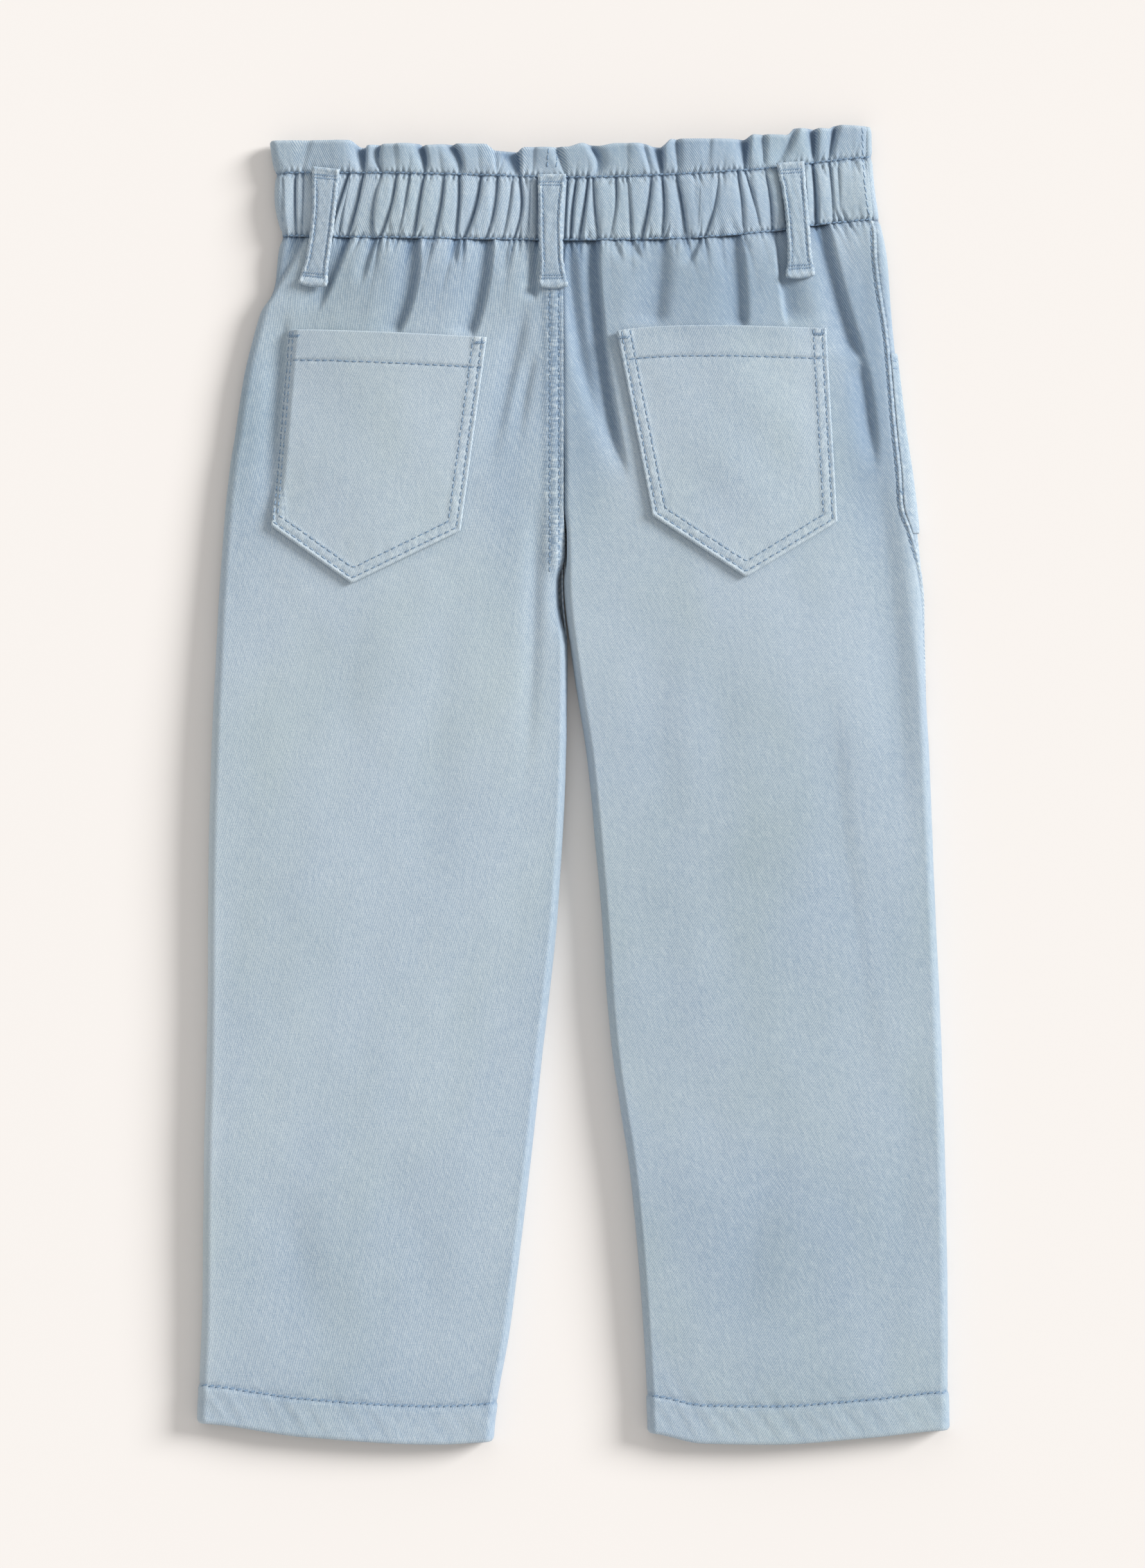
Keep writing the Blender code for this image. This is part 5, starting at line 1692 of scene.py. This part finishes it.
def sew_pockets(back, material):
    """The rows, mouth line and corner bars of both back pockets."""
    made = []
    for pocket, side in zip(BACK_POCKETS, (LEFT, RIGHT)):
        runs = []
        for inset in POCKET_ROWS:
            runs += walk(pocket_row(pocket, side, inset), POCKET_STITCH)
        shares = np.linspace(0.02, 0.98, 30)
        bows = pocket.bow * np.sin(math.pi * shares ** 0.6)
        left, right = np.array(pocket.top_left), np.array(pocket.top_right)
        mouth = left + (right - left) * shares[:, None]
        mouth[:, 1] += bows - POCKET_BAND
        runs += walk(mouth, POCKET_STITCH)
        for share in (0.034, 0.966):
            corner = left + (right - left) * share
            runs += bartack(corner[0], corner[1] - 0.0028, 0.0046, 0.0, 0.0012, 5)
        made.append(sew("stitches_" + pocket.name, back, runs, material, POCKET_THREAD))
    return made


def sew_loops(pieces, material):
    """The rows and tacks of every belt loop, each on its own loop."""
    made = []
    for loop in LOOPS:
        surface = Surface([pieces[loop.name]], loop.face)
        length = math.hypot(loop.x_low - loop.x_high, loop.y_low - loop.y_high)
        runs = []
        for way in (-1.0, 1.0):
            shares = np.linspace(0.006, length - 0.006, 24) / length
            aside = way * (read(LOOP_WIDTHS, "half", shares) - LOOP_ROW_INSET)
            runs += walk(loop_place(loop, shares, aside), LOOP_STITCH)
        across = np.linspace(-0.0050, 0.0050, 12)
        for from_end in LOOP_TACKS:
            for share in (from_end / length, 1.0 - from_end / length):
                row = loop_place(loop, np.full_like(across, share), across)
                runs += walk(row, TACK_STITCH)
        made.append(sew("stitches_" + loop.name, surface, runs, material, LOOP_THREAD))
    return made


def sew_all(back, front, material):
    """Every seam's stitches but the loops'."""
    made = sew_pockets(back, material)
    seat_rows = []
    for row in SEAT_ROWS:
        line = [(SEAT_LINE_X - row, y) for y in np.linspace(0.239, 0.094, 40)]
        seat_rows += walk(line, SEAT_STITCH)
    seat_rows += walk([(-0.0118, 0.2745), (-0.0112, 0.2835)], FRILL_STITCH)
    seat_rows += walk([(-0.0078, 0.2745), (-0.0072, 0.2835)], FRILL_STITCH)
    made.append(sew("stitches_seat_seam", back, seat_rows, material, SEAT_THREAD))
    hems = []
    for low, high in ((-0.1665, -0.0370), (0.0350, 0.1670)):
        hems += walk(line_of(hem_stitch_y, low, high), HEM_STITCH)
    made.append(sew("stitches_hems", back, hems, material, HEM_THREAD))
    made.append(sew("stitches_hems_under", front, hems, material, HEM_THREAD))
    for label, surface in (("back", back), ("front", front)):
        rows = []
        for column in ("lower_stitch", "upper_stitch"):
            line = line_of(lambda x: read(WAIST_LINES, column, x) + 0.0004, -0.1300, 0.1325)
            rows += walk(line, BAND_STITCH)
        made.append(sew("stitches_band_" + label, surface, rows, material, BAND_THREAD))
    side = walk([seam_row_place(y, SIDE_ROW) for y in np.linspace(0.286, 0.100, 90)], SIDE_STITCH)
    slit_x, slit_y = seam_row_place(0.1285, 0.0008)
    side += bartack(slit_x, slit_y, 0.0050, math.radians(80.0), 0.0022, 9)
    for y in (0.1880, 0.1850):
        x, here = seam_row_place(y, 0.0)
        side += walk([(x + 0.0006, here), (x + 0.0032, here - 0.0002)], SHORT_STITCH)
    made.append(sew("stitches_side_seam", back, side, material, SIDE_THREAD))
    return made


# ---------------------------------------------------------------- stage, light and camera


def build_stage():
    """The floor, the soft low sun, the even surround and the camera straight above."""
    bpy.ops.object.select_all(action="DESELECT")
    bpy.ops.mesh.primitive_plane_add(size=FLOOR_SIZE, location=(0.0, 0.0, 0.0))
    floor = bpy.context.active_object
    floor.name = "floor"
    floor.data.materials.append(Finish("pale_floor").shade({
        "Base Color": FLOOR_COLOUR, "Roughness": 1.0, "Specular IOR Level": 0.0}))

    world = bpy.data.worlds.new("studio")
    bpy.context.scene.world = world
    world.use_nodes = True
    background = world.node_tree.nodes["Background"]
    background.inputs["Color"].default_value = (1.0, 1.0, 1.0, 1.0)
    background.inputs["Strength"].default_value = SKY_STRENGTH

    sun = bpy.data.lights.new("key", "SUN")
    sun.energy = SUN_STRENGTH
    sun.angle = SUN_WIDTH
    key = bpy.data.objects.new("key", sun)
    bpy.context.scene.collection.objects.link(key)
    towards = Vector((math.cos(SUN_HEIGHT) * math.cos(SUN_AROUND),
                      math.cos(SUN_HEIGHT) * math.sin(SUN_AROUND), math.sin(SUN_HEIGHT)))
    key.rotation_euler = towards.to_track_quat("Z", "Y").to_euler()
    key.location = towards

    camera = bpy.data.cameras.new("camera")
    camera.sensor_fit = "VERTICAL"
    camera.sensor_height = CAMERA_SENSOR
    camera.lens = CAMERA_LENS
    camera.clip_end = 20.0
    eye = bpy.data.objects.new("camera", camera)
    bpy.context.scene.collection.objects.link(eye)
    eye.location = CAMERA_PLACE
    bpy.context.scene.camera = eye
    bpy.context.scene.view_settings.view_transform = "Standard"


def main():
    cloth = twill("twill", 0.0, 0.0032, 0.0015)
    band = twill("band_twill", 0.0, 0.0018, 0.0030)
    patch = twill("pocket_twill", 0.06, 0.0021, 0.0021)
    strap = twill("loop_twill", 0.0, 0.0018, 0.0018)
    sewing = thread("sewing_thread")

    pieces = {
        "back_left": panel_cloth("back_left_cloth", LEFT, BACK, cloth),
        "back_right": panel_cloth("back_right_cloth", RIGHT, BACK, cloth),
        "front_left": panel_cloth("front_left_cloth", LEFT, FRONT, cloth),
        "front_right": panel_cloth("front_right_cloth", RIGHT, FRONT, cloth),
        "waistband_back": band_cloth("waistband_back_cloth", BACK, band),
        "waistband_front": band_cloth("waistband_front_cloth", FRONT, band),
        "pocket_back_left": back_pocket_cloth(BACK_POCKETS[0], LEFT, patch),
        "pocket_back_right": back_pocket_cloth(BACK_POCKETS[1], RIGHT, patch),
        "pocket_front_left": front_pocket_cloth("pocket_front_left", LEFT, patch),
        "pocket_front_right": front_pocket_cloth("pocket_front_right", RIGHT, patch),
    }
    for loop in LOOPS:
        pieces[loop.name] = loop_cloth(loop, strap)
    for node, piece in pieces.items():
        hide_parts(node)
    loops = [pieces[loop.name] for loop in LOOPS]
    ground = [piece for piece in pieces.values() if piece not in loops]
    back, front = Surface(ground, BACK), Surface(ground, FRONT)
    stitches = sew_all(back, front, sewing) + sew_loops(pieces, sewing)
    build_stage()
    for cut in CUTS:
        piece = pieces[cut.node]
        with_it = [seam for seam in stitches if seam.name == "stitches_" + cut.node]


main()
